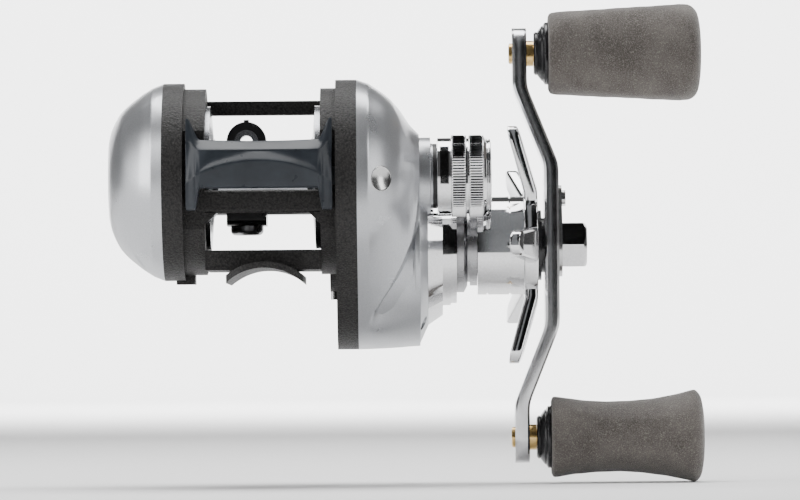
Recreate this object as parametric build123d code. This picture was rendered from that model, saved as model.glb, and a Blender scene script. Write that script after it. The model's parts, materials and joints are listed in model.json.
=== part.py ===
"""Low-profile baitcasting reel, right-hand retrieve, as separate pieces in millimetres.

+X points to the handle side, +Y forward to the rod tip and +Z up. The origin is the middle of
the foot's hollow underside, where the reel sits on the rod.
"""

import os
from math import acos, atan2, cos, degrees, hypot, pi, radians, sin, sqrt, tan

from build123d import *

# ---------------------------------------------------------------- driving dimensions
RUN = 0.05              # radial running fit of a shaft in its bore
GAP = 0.3               # room between faces that move past each other
WALL = 1.6              # wall of the two covers

SPOOL_Y, SPOOL_Z = -4.0, 21.3          # spool axis
DRIVE_Y, DRIVE_Z = 10.2, 5.3           # drive shaft axis
WORM_Y, WORM_Z = 21.5, 17.0            # level-wind worm axis

REAR_R = 22.9           # side outline round the spool
REAR_Y, REAR_Z = -5.0, 20.3
NOSE_R = 13.5           # side outline round the level wind
NOSE_Y, NOSE_Z = 19.5, 13.5
HOUSING_R = 24.1        # side outline round the main gear

PALM_SUMMIT_X = -36.2   # outer face of the palm cover
PALM_SEAM_X = -23.4     # joint of palm cover and frame
PALM_RING_X = -18.6     # inner face of the palm-side ring
WINDOW_LEFT = -13.6     # inner faces of the frame's two walls
WINDOW_RIGHT = 12.9
PLATE_X = 16.4          # joint of frame and gear plate
SHELL_SEAM_X = 21.3     # joint of gear plate and handle-side shell
SHELL_SUMMIT_X = 35.7   # outer face of the shell
COLLAR_X = 37.6         # foot of the drag collar
COLLAR_END_X = 44.3     # end of the drag collar

FLANGE_R = 16.6         # spool flanges
ARBOR_R = 7.8
SPOOL_LEFT, SPOOL_RIGHT = -14.2, 13.2
SPOOL_SHAFT_R = 1.5

DRIVE_R = 3.0           # drive shaft
TUBE_R = 5.0            # inner tube of the one-way bearing
CAP_R = 9.5             # knurled cast control cap
CAP_START_X, CAP_END_X = 39.9, 52.4
NECK_R = 6.5

HUB_R = 11.5            # star drag hub
HUB_X, STAR_X, STAR_END_X = 49.2, 60.0, 63.3
STAR_R = 29.0
STAR_ARMS = 5
STAR_DROP = 4.3         # how far the arm tips lean to the body

CRANK = 45.0            # drive shaft to knob axis
ARM_X = 64.9            # inner face of the handle arm at its hub
ARM_T = 3.4
ARM_OFFSET = 7.2        # how far the arm's ends lie nearer the body
ARM_FLAT, ARM_BEND = 19.0, 37.0
ARM_HUB_R, ARM_END_R = 8.0, 6.0
NUT_FLATS = 10.2
NUT_END_X = 74.9

BOOT_T, GRIP_L = 3.4, 35.9
POST_R = 2.0
GRIP_NECK_R, GRIP_END_R, GRIP_WAIST_R = 9.5, 11.4, 8.3
SCOOP_R = 58.0          # lengthwise hollow of the grips
SCOOP_CROWN_R = 13.3    # round of the hollow across the grip
CORE_R = 4.5

THUMB_REAR_Y, THUMB_FRONT_Y = -31.0, -23.7
THUMB_LEFT, THUMB_RIGHT = -17.8, 15.7
THUMB_TOP, THUMB_LOW = 29.8, 18.2
HORN_TOP, ARM_LOW = 34.4, 13.2
THUMB_TRAVEL = 5.0
YOKE_TRAVEL = 2.0

DECK_TOP, DECK_LOW = 4.2, -0.4
FOOT_L, FOOT_W, FOOT_T, FOOT_HOLLOW_R = 59.0, 17.7, 1.4, 13.1

MAIN_TEETH, PINION_TEETH = 54, 10
LEVEL_TEETH, WORM_TEETH = 38, 20
PRESSURE_ANGLE = radians(25)

GUIDE_X = -5.0          # where the line guide rests
GUIDE_W = 9.4
GUIDE_EYE_Z = 30.5
GUARD_R = 4.0

SPOOL = (SPOOL_Y, SPOOL_Z)
DRIVE = (DRIVE_Y, DRIVE_Z)
WORM = (WORM_Y, WORM_Z)
MAIN_X = 26.2           # inner face of the main gear
MAIN_T = 4.0
LEVEL_X = 19.3          # inner face of the level-wind gears
LEVEL_T = 1.5
PLATE_FLOOR_X = 19.0    # floor of the gear plate's pocket
KNOB_HIGH = (DRIVE_Y, DRIVE_Z + CRANK)
KNOB_LOW = (DRIVE_Y, DRIVE_Z - CRANK)
ARM_END_X = ARM_X - ARM_OFFSET
BOOT_X = ARM_END_X + ARM_T + 1.7
GRIP_X = BOOT_X + BOOT_T
BEARING_R = 5.0


# ---------------------------------------------------------------- helpers
def section(x, axis=(0, 0)):
    """The plane across X at x, with its own x to +Y and its own y to +Z."""
    return Plane(origin=(x, axis[0], axis[1]), x_dir=(0, 1, 0), z_dir=(1, 0, 0))


def disc(axis, radius, x0, x1):
    """A plain cylinder along X."""
    return extrude(section(x0, axis) * Circle(radius), x1 - x0)


def tube(axis, outer, inner, x0, x1):
    """A ring along X."""
    return disc(axis, outer, x0, x1) - disc(axis, inner, x0 - 0.01, x1 + 0.01)


def turned(axis, *profile):
    """A lathe-turned piece about X from its (x, radius) corners."""
    plane = Plane(origin=(0, axis[0], axis[1]), x_dir=(1, 0, 0), z_dir=(0, -1, 0))
    face = make_face(Polyline(*profile, close=True))
    return revolve(plane * face, Axis((0, axis[0], axis[1]), (1, 0, 0)), 360)


def block(x0, x1, y0, y1, z0, z1):
    """A box between six planes."""
    middle = ((x0 + x1) / 2, (y0 + y1) / 2, (z0 + z1) / 2)
    return Pos(*middle) * Box(x1 - x0, y1 - y0, z1 - z0)


def hull_face(circles):
    """The outline of circles (y, z, radius), named anticlockwise, and their outer tangents."""
    tangents = []
    for first, second in zip(circles, circles[1:] + circles[:1]):
        heading = atan2(second[1] - first[1], second[0] - first[0])
        reach = hypot(second[0] - first[0], second[1] - first[1])
        tangents.append(heading - acos((first[2] - second[2]) / reach))
    edges = []
    for index, (y, z, r) in enumerate(circles):
        start = tangents[index - 1]
        end = tangents[index]
        while end < start:
            end += 2 * pi
        middle = (start + end) / 2
        points = [(y + r * cos(a), z + r * sin(a)) for a in (start, middle, end)]
        edges.append(ThreePointArc(*points))
        after = circles[(index + 1) % len(circles)]
        meet = (after[0] + after[2] * cos(end), after[1] + after[2] * sin(end))
        edges.append(Line(points[2], meet))
    return make_face(edges)


def prism(circles, x0, x1):
    """A plate along X with a hull outline."""
    return extrude(section(x0) * hull_face(circles), x1 - x0)


def smaller(circles, inset):
    """The same circles with every radius cut by the inset."""
    return [(y, z, r - inset) for y, z, r in circles]


def between(low, high, share):
    """The circles a share of the way from low to high."""
    return [tuple(a + (b - a) * share for a, b in zip(p, q)) for p, q in zip(low, high)]


def dome(low, high, stations):
    """A lofted cover whose outline goes from low to high at stations of (x, share)."""
    faces = [section(x) * hull_face(between(low, high, share)) for x, share in stations]
    return loft(faces, ruled=True)


def along(axis, angle, reach):
    """The point at a reach and angle from an axis, in the plane across X."""
    return (axis[0] + reach * cos(angle), axis[1] + reach * sin(angle))


def ball_bearing(axis, outer, inner, x0, width, balls=7):
    """Outer ring, inner ring and balls of a ball bearing, as separate solids."""
    ball_r = (outer - inner) * 0.22
    pitch = (outer + inner) / 2
    middle = x0 + width / 2
    race = Pos(middle, axis[0], axis[1]) * Rot(0, 90, 0) * Torus(pitch, ball_r + 0.02)
    rings = [
        tube(axis, outer, pitch + ball_r * 0.6, x0, x0 + width) - race,
        tube(axis, pitch - ball_r * 0.6, inner, x0, x0 + width) - race,
    ]
    for index in range(balls):
        y, z = along(axis, 2 * pi * index / balls, pitch)
        rings.append(Pos(middle, y, z) * Sphere(ball_r))
    return rings


def gear_face(teeth, module, backlash=0.09, addendum=0.7, dedendum=1.0, turn=0.0):
    """A spur gear outline with involute flanks, one tooth's middle at the turn angle."""
    pitch_r = module * teeth / 2
    base_r = pitch_r * cos(PRESSURE_ANGLE)
    tip_r = pitch_r + addendum * module
    root_r = pitch_r - dedendum * module

    def roll(radius):
        """Angle of the involute at a radius."""
        return tan(acos(base_r / radius)) - acos(base_r / radius)

    half_pitch = pi / (2 * teeth) - backlash / (2 * pitch_r)
    at_base = half_pitch + roll(pitch_r)
    start_r = max(base_r, root_r)
    steps = 4
    flank = []
    for step in range(steps + 1):
        radius = start_r + (tip_r - start_r) * step / steps
        flank.append((radius, at_base - roll(radius)))
    points = []
    for tooth in range(teeth):
        centre = turn + 2 * pi * tooth / teeth
        corners = [(root_r, -at_base)] if root_r < base_r - 0.01 else []
        corners += [(radius, -angle) for radius, angle in flank]
        corners += [(radius, angle) for radius, angle in reversed(flank)]
        corners += [(root_r, at_base)] if root_r < base_r - 0.01 else []
        points += [(r * cos(centre + a), r * sin(centre + a)) for r, a in corners]
    return make_face(Polyline(*points, close=True))


def meshing_turn(here, there, teeth, other_teeth, turn=0.0):
    """How far the second gear is turned so that its gap meets the first gear's tooth."""
    angle = atan2(there[1] - here[1], there[0] - here[0])
    return (other_teeth * (angle + pi) - teeth * (turn - angle) - pi) / other_teeth


def save(name, *solids):
    """Write one node's solids as parts/NAME.step."""
    pieces = []
    for item in solids:
        for solid in item if isinstance(item, list) else [item]:
            pieces += solid.solids()
    shape = pieces[0] if len(pieces) == 1 else Compound(children=pieces)
    shape.label = name
    export_step(shape, f"parts/{name}.step")
    print(f"{name:24s} {len(pieces)} solids")


# ---------------------------------------------------------------- fittings
ROD_Y, ROD_Z, ROD_R = 28.1, 14.5, 1.2
SCREW_TIP_X, SCREW_TIP_R = 15.5, 0.7
PALM_SCREWS = [(-22.0, 30.0), (23.5, 9.5), (-14.0, 3.5)]
PLATE_BOLTS = [(-21.0, 27.5), (24.0, 6.5), (-18.5, 6.8)]

# palm side: bearing cup and brake dial
PALM_CUP_X = -20.4
DIAL = (11.0, 15.5)
DIAL_R = 5.4
DIAL_FLOOR_X = -30.2

# screws and the clutch tab
PILLAR_R, HEAD_R, SHANK_R = 2.0, 1.5, 0.8
TAB_Y = (-25.6, -24.0)
TAB_Z = (19.0, 23.0)
SHELL_BOLTS = [(12.0, 28.5), along(DRIVE, radians(-60), 20.9), along(DRIVE, radians(-120), 20.9)]

# shell: cast control neck, yoke posts, gear sizes and oil port
NECK_END_X = 47.0
BOLT_FLOORS = (31.0, 33.0, 33.0)
POST_BOSS_X = 32.0
YOKE_ANGLE = atan2(DRIVE_Z - SPOOL_Z, DRIVE_Y - SPOOL_Y) + pi / 2
POSTS = [along(SPOOL, YOKE_ANGLE + turn, 9.0) for turn in (0, pi)]
AXES_APART = hypot(DRIVE_Y - SPOOL_Y, DRIVE_Z - SPOOL_Z)
MAIN_MODULE = 2 * AXES_APART / (MAIN_TEETH + PINION_TEETH)
LEVEL_MODULE = 2 * hypot(WORM_Y - DRIVE_Y, WORM_Z - DRIVE_Z) / (LEVEL_TEETH + WORM_TEETH)
LEVEL_TIP_R = LEVEL_MODULE * (LEVEL_TEETH / 2 + 0.7)
PINION_TIP_R = MAIN_MODULE * (PINION_TEETH / 2 + 0.7)
PORT_X, PORT_Y, PORT_Z = 27.0, -25.2, 20.2      # oil port on the shell's slanting rear wall
PORT_TILT = radians(36)
PORT_R, PORT_DEPTH = 2.95, 1.0

# spool shaft and magnets
PIN_X = 20.6
SHIM_X = 50.4
MAGNET_X = -22.0         # palm side of the magnet holder
DIAL_OUT_X = -34.6

# clutch yoke and pinion
YOKE_X, YOKE_T = 22.2, 1.2
GROOVE_R = 2.6
PINION_END_X = 31.4
PINION_BORE_R = SPOOL_SHAFT_R + RUN

# drive shaft, level wind and knobs
FLAT_HALF = 2.3
BEARING_OUT = 7.8
WORM_R = 2.6
CARRIAGE_LOW = 10.6
INSERT_W, EYE_W = 5.6, 2.9
BUSH_R = 3.2
POST_END_X = 94.0


# ---------------------------------------------------------------- outlines
REAR = (REAR_Y, REAR_Z, REAR_R)
NOSE = (NOSE_Y, NOSE_Z, NOSE_R)
PALM_OUTLINE = [REAR, NOSE]
PALM_TOP = [(SPOOL_Y, SPOOL_Z - 0.6, 9.4), (SPOOL_Y + 10, 16.5, 4.5)]
GEAR_REAR = (REAR_Y, REAR_Z, REAR_R + 0.6)
GEAR_OUTLINE = [(DRIVE_Y, DRIVE_Z, HOUSING_R), NOSE, GEAR_REAR]
GEAR_TOP = [(DRIVE_Y, DRIVE_Z, HOUSING_R - 0.7), (DRIVE_Y + 6, 13.0, 15.0), (SPOOL_Y, SPOOL_Z, 9.8)]
BORE_R = FLANGE_R + GAP

PALM_STATIONS = [(0.0, 0.0), (0.20, 0.09), (0.42, 0.21), (0.70, 0.43), (0.84, 0.60), (0.95, 0.82), (1.0, 1.0)]
SHELL_STATIONS = [(0.0, 0.0), (0.19, 0.08), (0.47, 0.29), (0.67, 0.52), (0.85, 0.82), (1.0, 1.0)]


def stations(shares, start, end):
    """Dome stations between two X planes."""
    return [(start + (end - start) * x, share) for x, share in shares]


# ---------------------------------------------------------------- frame and covers
CROSSBAR_FRONT, CROSSBAR_REAR = -20.4, -23.4
CROSSBAR_LOW, CROSSBAR_TOP = 12.7, 17.9
HOOD_REAR, HOOD_FRONT, HOOD_LOW = 4.6, 12.0, 36.2


def frame_wall(x0, x1, inset):
    """One side wall of the frame, cut back behind for the thumb bar."""
    wall = prism(smaller(PALM_OUTLINE, inset), x0, x1)
    return wall - block(x0 - 1, x1 + 1, -60, CROSSBAR_REAR, -40, 80)


def make_frame():
    """Palm ring, two walls, top hood, rear crossbar, deck and foot in one casting."""
    left, right = WINDOW_LEFT, WINDOW_RIGHT
    body = prism(PALM_OUTLINE, PALM_SEAM_X, PALM_RING_X)
    body += frame_wall(PALM_RING_X, left, 1.3)
    gear_wall = frame_wall(right, PLATE_X, 1.3)
    gear_wall += prism([(DRIVE_Y, DRIVE_Z, 10.5), (NOSE_Y, NOSE_Z, NOSE_R - 1.3)], right + 1.8, PLATE_X)
    body += gear_wall
    hood = prism(smaller(PALM_OUTLINE, 1.5), left - 1, right + 1)
    body += hood & block(left - 1, right + 1, HOOD_REAR, HOOD_FRONT, HOOD_LOW, 60)
    crossbar = block(left, right, CROSSBAR_REAR, CROSSBAR_FRONT, CROSSBAR_LOW, CROSSBAR_TOP)
    body += fillet(crossbar.edges().filter_by(Axis.X), 0.8)
    for x, side in ((left, 1), (right, -1)):
        web = Polyline((x, CROSSBAR_LOW), (x + side * 2.6, CROSSBAR_LOW), (x, CROSSBAR_LOW - 2.6), close=True)
        rib_plane = Plane(origin=(0, CROSSBAR_FRONT, 0), x_dir=(1, 0, 0), z_dir=(0, -1, 0))
        body += extrude(rib_plane * make_face(web), CROSSBAR_FRONT - CROSSBAR_REAR)
    body += block(left, right, -21.0, 17.0, DECK_LOW, DECK_TOP)
    body += make_foot()
    body += block(PALM_RING_X - 2.2, PALM_RING_X + 2.1, -6, 4, -3.4, 1.5)
    body -= disc(SPOOL, BORE_R, PALM_SEAM_X - 1, left + 1)
    body -= disc(SPOOL, BORE_R, right - 1, right + 1.4)
    body -= disc(SPOOL, 9.0, right, PLATE_X + 1)
    body -= disc(WORM, 3.1, PALM_RING_X + 2, PLATE_X + 1)
    body -= disc(WORM, GUARD_R, left - 1.5, right + 1.5)
    body -= disc((ROD_Y, ROD_Z), ROD_R, left - 2, right + 2)
    body -= disc(DRIVE, BEARING_R + 1.2, PLATE_X - 1.6, PLATE_X + 1)
    body -= extrude(Plane.XY.offset(-20) * Pos(SCREW_TIP_X, DRIVE_Y) * Circle(SCREW_TIP_R), 20)
    body -= underside()
    for axis in PALM_SCREWS:
        body -= disc(axis, SHANK_R, PALM_SEAM_X - 1, PALM_SEAM_X + 4.2)
    for axis in PLATE_BOLTS:
        body -= disc(axis, SHANK_R, WINDOW_RIGHT + 1.7, PLATE_X + 1)
    return body


def underside():
    """The round hollow that the foot makes for the rod."""
    plane = Plane(origin=(0, -FOOT_L, 0), x_dir=(1, 0, 0), z_dir=(0, 1, 0))
    return extrude(plane * Pos(0, FOOT_HOLLOW_R) * Circle(FOOT_HOLLOW_R), 2 * FOOT_L)


def make_foot():
    """The curved foot plate, thicker under the deck than at its two ends."""
    plane = Plane(origin=(0, -FOOT_L / 2, 0), x_dir=(1, 0, 0), z_dir=(0, 1, 0))
    ring_outer = FOOT_HOLLOW_R + FOOT_T
    arch = extrude(plane * Pos(0, FOOT_HOLLOW_R) * Circle(ring_outer), FOOT_L)
    long_ends = Plane.XY.offset(-8) * RectangleRounded(FOOT_W, FOOT_L, FOOT_W * 0.32)
    arch &= extrude(long_ends, 12)
    return arch + block(-7.2, 7.2, -19.0, 15.0, -2.0, DECK_LOW + 0.5)


def make_palm_cover():
    """The domed cover under the palm, with bearing cup, screw bosses and brake dial seat."""
    outer = dome(PALM_OUTLINE, PALM_TOP, stations(PALM_STATIONS, PALM_SEAM_X, PALM_SUMMIT_X))
    inner = dome(smaller(PALM_OUTLINE, WALL), smaller(PALM_TOP, WALL),
                 stations(PALM_STATIONS, PALM_SEAM_X, PALM_SUMMIT_X + WALL))
    cover = outer - inner
    cup = disc(SPOOL, BEARING_R + 1.4, PALM_SUMMIT_X + WALL * 0.5, PALM_CUP_X)
    cover += cup - disc(SPOOL, BEARING_R, PALM_CUP_X - 4.0, PALM_CUP_X + 1)
    cover -= disc(SPOOL, 2.2, PALM_CUP_X - 5.2, PALM_CUP_X)
    for axis in PALM_SCREWS:
        cover += disc(axis, 2.2, PALM_SEAM_X - 5.0, PALM_SEAM_X) & outer
    cover += disc(DIAL, DIAL_R + GAP + WALL, PALM_SUMMIT_X, DIAL_FLOOR_X + 1.4) & outer
    cover -= disc(DIAL, DIAL_R + GAP, PALM_SUMMIT_X - 2, DIAL_FLOOR_X)
    cover -= disc(DIAL, 1.5 + RUN, DIAL_FLOOR_X - 1, DIAL_FLOOR_X + 3)
    for axis in PALM_SCREWS:
        cover -= disc(axis, SHANK_R, PALM_SEAM_X - 3.6, PALM_SEAM_X + 1)
    return cover


def make_gear_plate():
    """The black plate between frame and shell that carries the gears."""
    plate = prism(GEAR_OUTLINE, PLATE_X, SHELL_SEAM_X)
    plate -= prism(smaller(GEAR_OUTLINE, 2.4), PLATE_FLOOR_X, SHELL_SEAM_X + 1)
    for axis in SHELL_BOLTS:
        plate += disc(axis, PILLAR_R, PLATE_X + 0.5, SHELL_SEAM_X)
    plate -= disc(SPOOL, 4.6, PLATE_X - 1, PLATE_FLOOR_X + 1)
    plate += tube(DRIVE, BEARING_R + 1.0, BEARING_R, PLATE_X - 1.5, PLATE_FLOOR_X)
    plate -= disc(DRIVE, BEARING_R, PLATE_X - 1.2, PLATE_FLOOR_X + 1)
    plate -= disc(WORM, 3.1, PLATE_X - 1, PLATE_FLOOR_X + 1)
    tab_low = TAB_Z[0] - THUMB_TRAVEL - GAP
    plate -= block(PLATE_X - 1, PLATE_FLOOR_X + 1.6, TAB_Y[0] - GAP, TAB_Y[1] + GAP, tab_low, TAB_Z[1] + GAP)
    for axis in SHELL_BOLTS:
        plate -= disc(axis, SHANK_R, PLATE_X + 0.8, SHELL_SEAM_X + 1)
    for axis in PLATE_BOLTS:
        plate -= disc(axis, SHANK_R, PLATE_X - 1, PLATE_FLOOR_X + 1)
    return plate


def make_shell():
    """The sculpted handle-side shell with its cast control neck and drive shaft opening."""
    outer = dome(GEAR_OUTLINE, GEAR_TOP, stations(SHELL_STATIONS, SHELL_SEAM_X, SHELL_SUMMIT_X))
    outer += turned(DRIVE, (SHELL_SUMMIT_X, 0), (SHELL_SUMMIT_X, HOUSING_R - 1.2), (COLLAR_X, 18.6), (COLLAR_X, 0))
    inner = dome(smaller(GEAR_OUTLINE, WALL), smaller(GEAR_TOP, WALL),
                 stations(SHELL_STATIONS, SHELL_SEAM_X, SHELL_SUMMIT_X - WALL))
    shell = outer - inner
    shell += turned(SPOOL, (SHELL_SUMMIT_X - 1, 0), (SHELL_SUMMIT_X - 1, 9.0), (38.3, 9.0), (38.3, 7.6), (38.9, 7.6),
                    (38.9, NECK_R), (NECK_END_X, NECK_R), (NECK_END_X, 0))
    shell -= disc(SPOOL, BEARING_R, NECK_END_X - 4.0, NECK_END_X + 1)
    shell -= disc(SPOOL, 2.4, 30, NECK_END_X)
    shell -= disc(SPOOL, PINION_TIP_R + 0.4, 30, SHELL_SUMMIT_X + 0.6)
    shell -= disc(DRIVE, TUBE_R + 1.2, 30, COLLAR_X + 1)
    for axis in SHELL_BOLTS:
        shell += disc(axis, PILLAR_R, SHELL_SEAM_X, SHELL_SUMMIT_X) & outer
    for axis in POSTS:
        shell += disc(axis, 2.0, POST_BOSS_X, SHELL_SUMMIT_X - 1) & outer
        shell -= disc(axis, 1.0, POST_BOSS_X - 1, POST_BOSS_X + 1.6)
    shell += port_tool(PORT_R + 1.2, -PORT_DEPTH - 2.2, -0.6)
    shell -= port_tool(PORT_R + RUN, -PORT_DEPTH, 5)
    shell -= port_tool(1.2, -PORT_DEPTH - 4, 0)
    for axis, floor in zip(SHELL_BOLTS, BOLT_FLOORS):
        shell -= disc(axis, HEAD_R + 0.1, floor, 60)
        shell -= disc(axis, SHANK_R, SHELL_SEAM_X - 1, 60)
    return shell


def port_tool(radius, start, end):
    """A cylinder square to the shell's slanting rear wall, from start to end along the wall's normal."""
    plane = Plane(origin=(PORT_X, PORT_Y, PORT_Z), x_dir=(0, 0, 1), z_dir=(sin(PORT_TILT), -cos(PORT_TILT), 0))
    return extrude(plane.offset(start) * Circle(radius), end - start)


def screws(axes, heads, tips, head_r=HEAD_R, shank_r=SHANK_R, head_t=1.1):
    """Pan-head screws along X, each from its head plane to its tip plane, with a cross slot."""
    made = []
    for axis, head, tip in zip(axes, heads, tips):
        side = 1 if head > tip else -1
        top = head + side * head_t
        screw = disc(axis, shank_r, min(head, tip), max(head, tip))
        screw += disc(axis, head_r, min(head, top), max(head, top))
        y, z = axis
        for wide, tall in ((1.8, 0.4), (0.4, 1.8)):
            low, high = sorted((top - side * 0.6, top + side))
            screw -= block(low, high, y - wide / 2, y + wide / 2, z - tall / 2, z + tall / 2)
        made.append(screw)
    return made


def frame_and_covers():
    """All pieces that stand still outside the mechanism."""
    save("frame", make_frame())
    save("palm_cover", make_palm_cover())
    save("gear_plate", make_gear_plate())
    save("handle_side_shell", make_shell())
    save("shell_screws", screws(SHELL_BOLTS, BOLT_FLOORS, [PLATE_X + 0.8] * 3))
    plate_tips = [WINDOW_RIGHT + 1.7] * len(PLATE_BOLTS)
    palm_screws = [disc(axis, SHANK_R, PALM_SEAM_X - 3.6, PALM_SEAM_X + 4.2) for axis in PALM_SCREWS]
    plate_screws = screws(PLATE_BOLTS, [PLATE_FLOOR_X] * len(PLATE_BOLTS), plate_tips, head_r=1.6, head_t=0.9)
    save("frame_screws", palm_screws, plate_screws)
    tip = extrude(Plane.XY.offset(-7.1) * Pos(SCREW_TIP_X, DRIVE_Y) * Circle(SCREW_TIP_R), 5)
    save("frame_set_screw", tip)
    port_head = port_tool(PORT_R, -PORT_DEPTH, -PORT_DEPTH + 0.9)
    save("port_screw", port_head + port_tool(1.2, -PORT_DEPTH - 3.0, -PORT_DEPTH))


# ---------------------------------------------------------------- spool and its bearings
def spool_and_brake():
    """Spool, shaft, cross pin, bearings and the magnetic brake."""
    left, right = SPOOL_LEFT, SPOOL_RIGHT
    profile = [
        (left, SPOOL_SHAFT_R), (left + 3.0, SPOOL_SHAFT_R), (left + 3.0, SPOOL_SHAFT_R + 1.6),
        (right - 3.0, SPOOL_SHAFT_R + 1.6), (right - 3.0, SPOOL_SHAFT_R), (right - 0.8, SPOOL_SHAFT_R),
        (right - 0.8, ARBOR_R), (right, FLANGE_R - 1.2), (right, FLANGE_R), (right - 1.6, FLANGE_R),
        (right - 2.2, ARBOR_R + 1.5), (right - 3.4, ARBOR_R), (left + 3.4, ARBOR_R),
        (left + 2.2, ARBOR_R + 1.5), (left + 1.6, FLANGE_R), (left, FLANGE_R), (left, FLANGE_R - 1.2),
        (left + 0.8, ARBOR_R + 0.6), (left, ARBOR_R),
    ]
    save("spool", turned(SPOOL, *profile))
    rotor_x = left - 6.0
    save("brake_rotor", turned(SPOOL, (rotor_x, 10.6), (rotor_x, 11.2), (left, 11.2), (left, 1.5), (left - 0.8, 1.5),
                               (left - 0.8, 10.6)))
    shaft = disc(SPOOL, SPOOL_SHAFT_R, PALM_CUP_X - 4.4, SHIM_X)
    pin_hole = Pos(PIN_X, *SPOOL) * Cylinder(0.5, 6)
    save("spool_shaft", shaft - pin_hole)
    save("spool_pin", Pos(PIN_X, *SPOOL) * Cylinder(0.5, 5.6))
    inner = SPOOL_SHAFT_R + RUN
    save("spool_bearing_palm", ball_bearing(SPOOL, BEARING_R, inner, PALM_CUP_X - 4.0, 4.0))
    save("spool_bearing_handle", ball_bearing(SPOOL, BEARING_R, inner, NECK_END_X - 4.0, 4.0))
    holder_x = MAGNET_X
    holder = tube(SPOOL, 10.0, BEARING_R + 1.4 + RUN, holder_x, holder_x + 1.6)
    save("magnet_holder", holder)
    magnets = []
    for index in range(6):
        axis = along(SPOOL, 2 * pi * index / 6, 8.4)
        magnets.append(disc(axis, 1.4, holder_x + 1.6, holder_x + 4.2))
    save("brake_magnets", magnets)
    dial = turned(DIAL, (DIAL_OUT_X, 0), (DIAL_OUT_X, DIAL_R - 0.6), (DIAL_OUT_X + 0.6, DIAL_R),
                  (DIAL_FLOOR_X - 0.1, DIAL_R), (DIAL_FLOOR_X - 0.1, 1.5), (DIAL_FLOOR_X + 2.2, 1.5),
                  (DIAL_FLOOR_X + 2.2, 0))
    grip_bar = block(DIAL_OUT_X - 1.0, DIAL_OUT_X + 0.5, DIAL[0] - 0.8, DIAL[0] + 0.8, DIAL[1] - 4.4, DIAL[1] + 4.4)
    save("brake_dial", dial + grip_bar)


# ---------------------------------------------------------------- clutch
def clutch():
    """Thumb bar, sliding clutch plate, yoke, springs, posts and pinion."""
    save("thumb_bar", make_thumb_bar())
    plate_x = PLATE_FLOOR_X + 0.25
    plate = block(plate_x, plate_x + 1.0, -22.5, SPOOL_Y + 4.4, SPOOL_Z - 6.2, SPOOL_Z + 6.2 + 3)
    plate += block(plate_x, plate_x + 1.0, TAB_Y[0], -22.5, TAB_Z[0], TAB_Z[1])
    slot = block(plate_x - 1, plate_x + 2, SPOOL_Y - 4.4, SPOOL_Y + 4.4, SPOOL_Z - 4.4, SPOOL_Z + 4.4 + THUMB_TRAVEL)
    plate -= slot
    for y, z in POSTS:
        plate -= block(plate_x - 1, plate_x + 2, y - 1.9, y + 1.9, z - 1.9, z + 1.9 + THUMB_TRAVEL)
    plate -= block(plate_x - 1, plate_x + 2, -60, -16.0, SPOOL_Z + 3, 60)
    gear_room = (DRIVE_Y, DRIVE_Z + THUMB_TRAVEL)
    plate -= disc(gear_room, LEVEL_TIP_R + 2 * GAP, plate_x - 1, plate_x + 2)
    save("clutch_plate", plate)
    yoke_x = YOKE_X
    arm = section(yoke_x, SPOOL) * Rot(0, 0, degrees(YOKE_ANGLE)) * SlotCenterToCenter(18.0, 5.2)
    yoke = extrude(arm, YOKE_T) + disc(SPOOL, 5.2, yoke_x, yoke_x + YOKE_T)
    yoke -= disc(SPOOL, GROOVE_R + RUN, yoke_x - 1, yoke_x + YOKE_T + 1)
    for axis in POSTS:
        yoke -= disc(axis, 1.0 + RUN, yoke_x - 1, yoke_x + YOKE_T + 1)
    save("clutch_yoke", yoke)
    post_start = yoke_x - 0.4
    save("yoke_posts", [disc(axis, 1.0, post_start, POST_BOSS_X + 1.6) for axis in POSTS])
    spring_end = POST_BOSS_X - YOKE_TRAVEL - 0.1
    save("yoke_springs", [tube(axis, 1.9, 1.3, yoke_x + YOKE_T, spring_end) for axis in POSTS])
    save("pinion", make_pinion())


def make_pinion():
    """The long pinion: clutch slot at its spool end, yoke groove, then teeth."""
    groove_end = YOKE_X + YOKE_T + 0.1
    turn = meshing_turn(DRIVE, SPOOL, MAIN_TEETH, PINION_TEETH)
    face = gear_face(PINION_TEETH, MAIN_MODULE, turn=turn)
    pinion = extrude(section(groove_end + 0.4, SPOOL) * face, PINION_END_X - groove_end - 0.4)
    pinion += disc(SPOOL, 3.6, PIN_X - 0.9, YOKE_X - 0.1)
    pinion += disc(SPOOL, GROOVE_R, YOKE_X - 0.1, groove_end)
    pinion += disc(SPOOL, 3.4, groove_end, groove_end + 0.5)
    pinion -= disc(SPOOL, PINION_BORE_R, 0, 60)
    pinion -= block(PIN_X - 2, PIN_X + 0.6, SPOOL_Y - 0.62, SPOOL_Y + 0.62, SPOOL_Z - 5, SPOOL_Z + 5)
    return pinion


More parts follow.
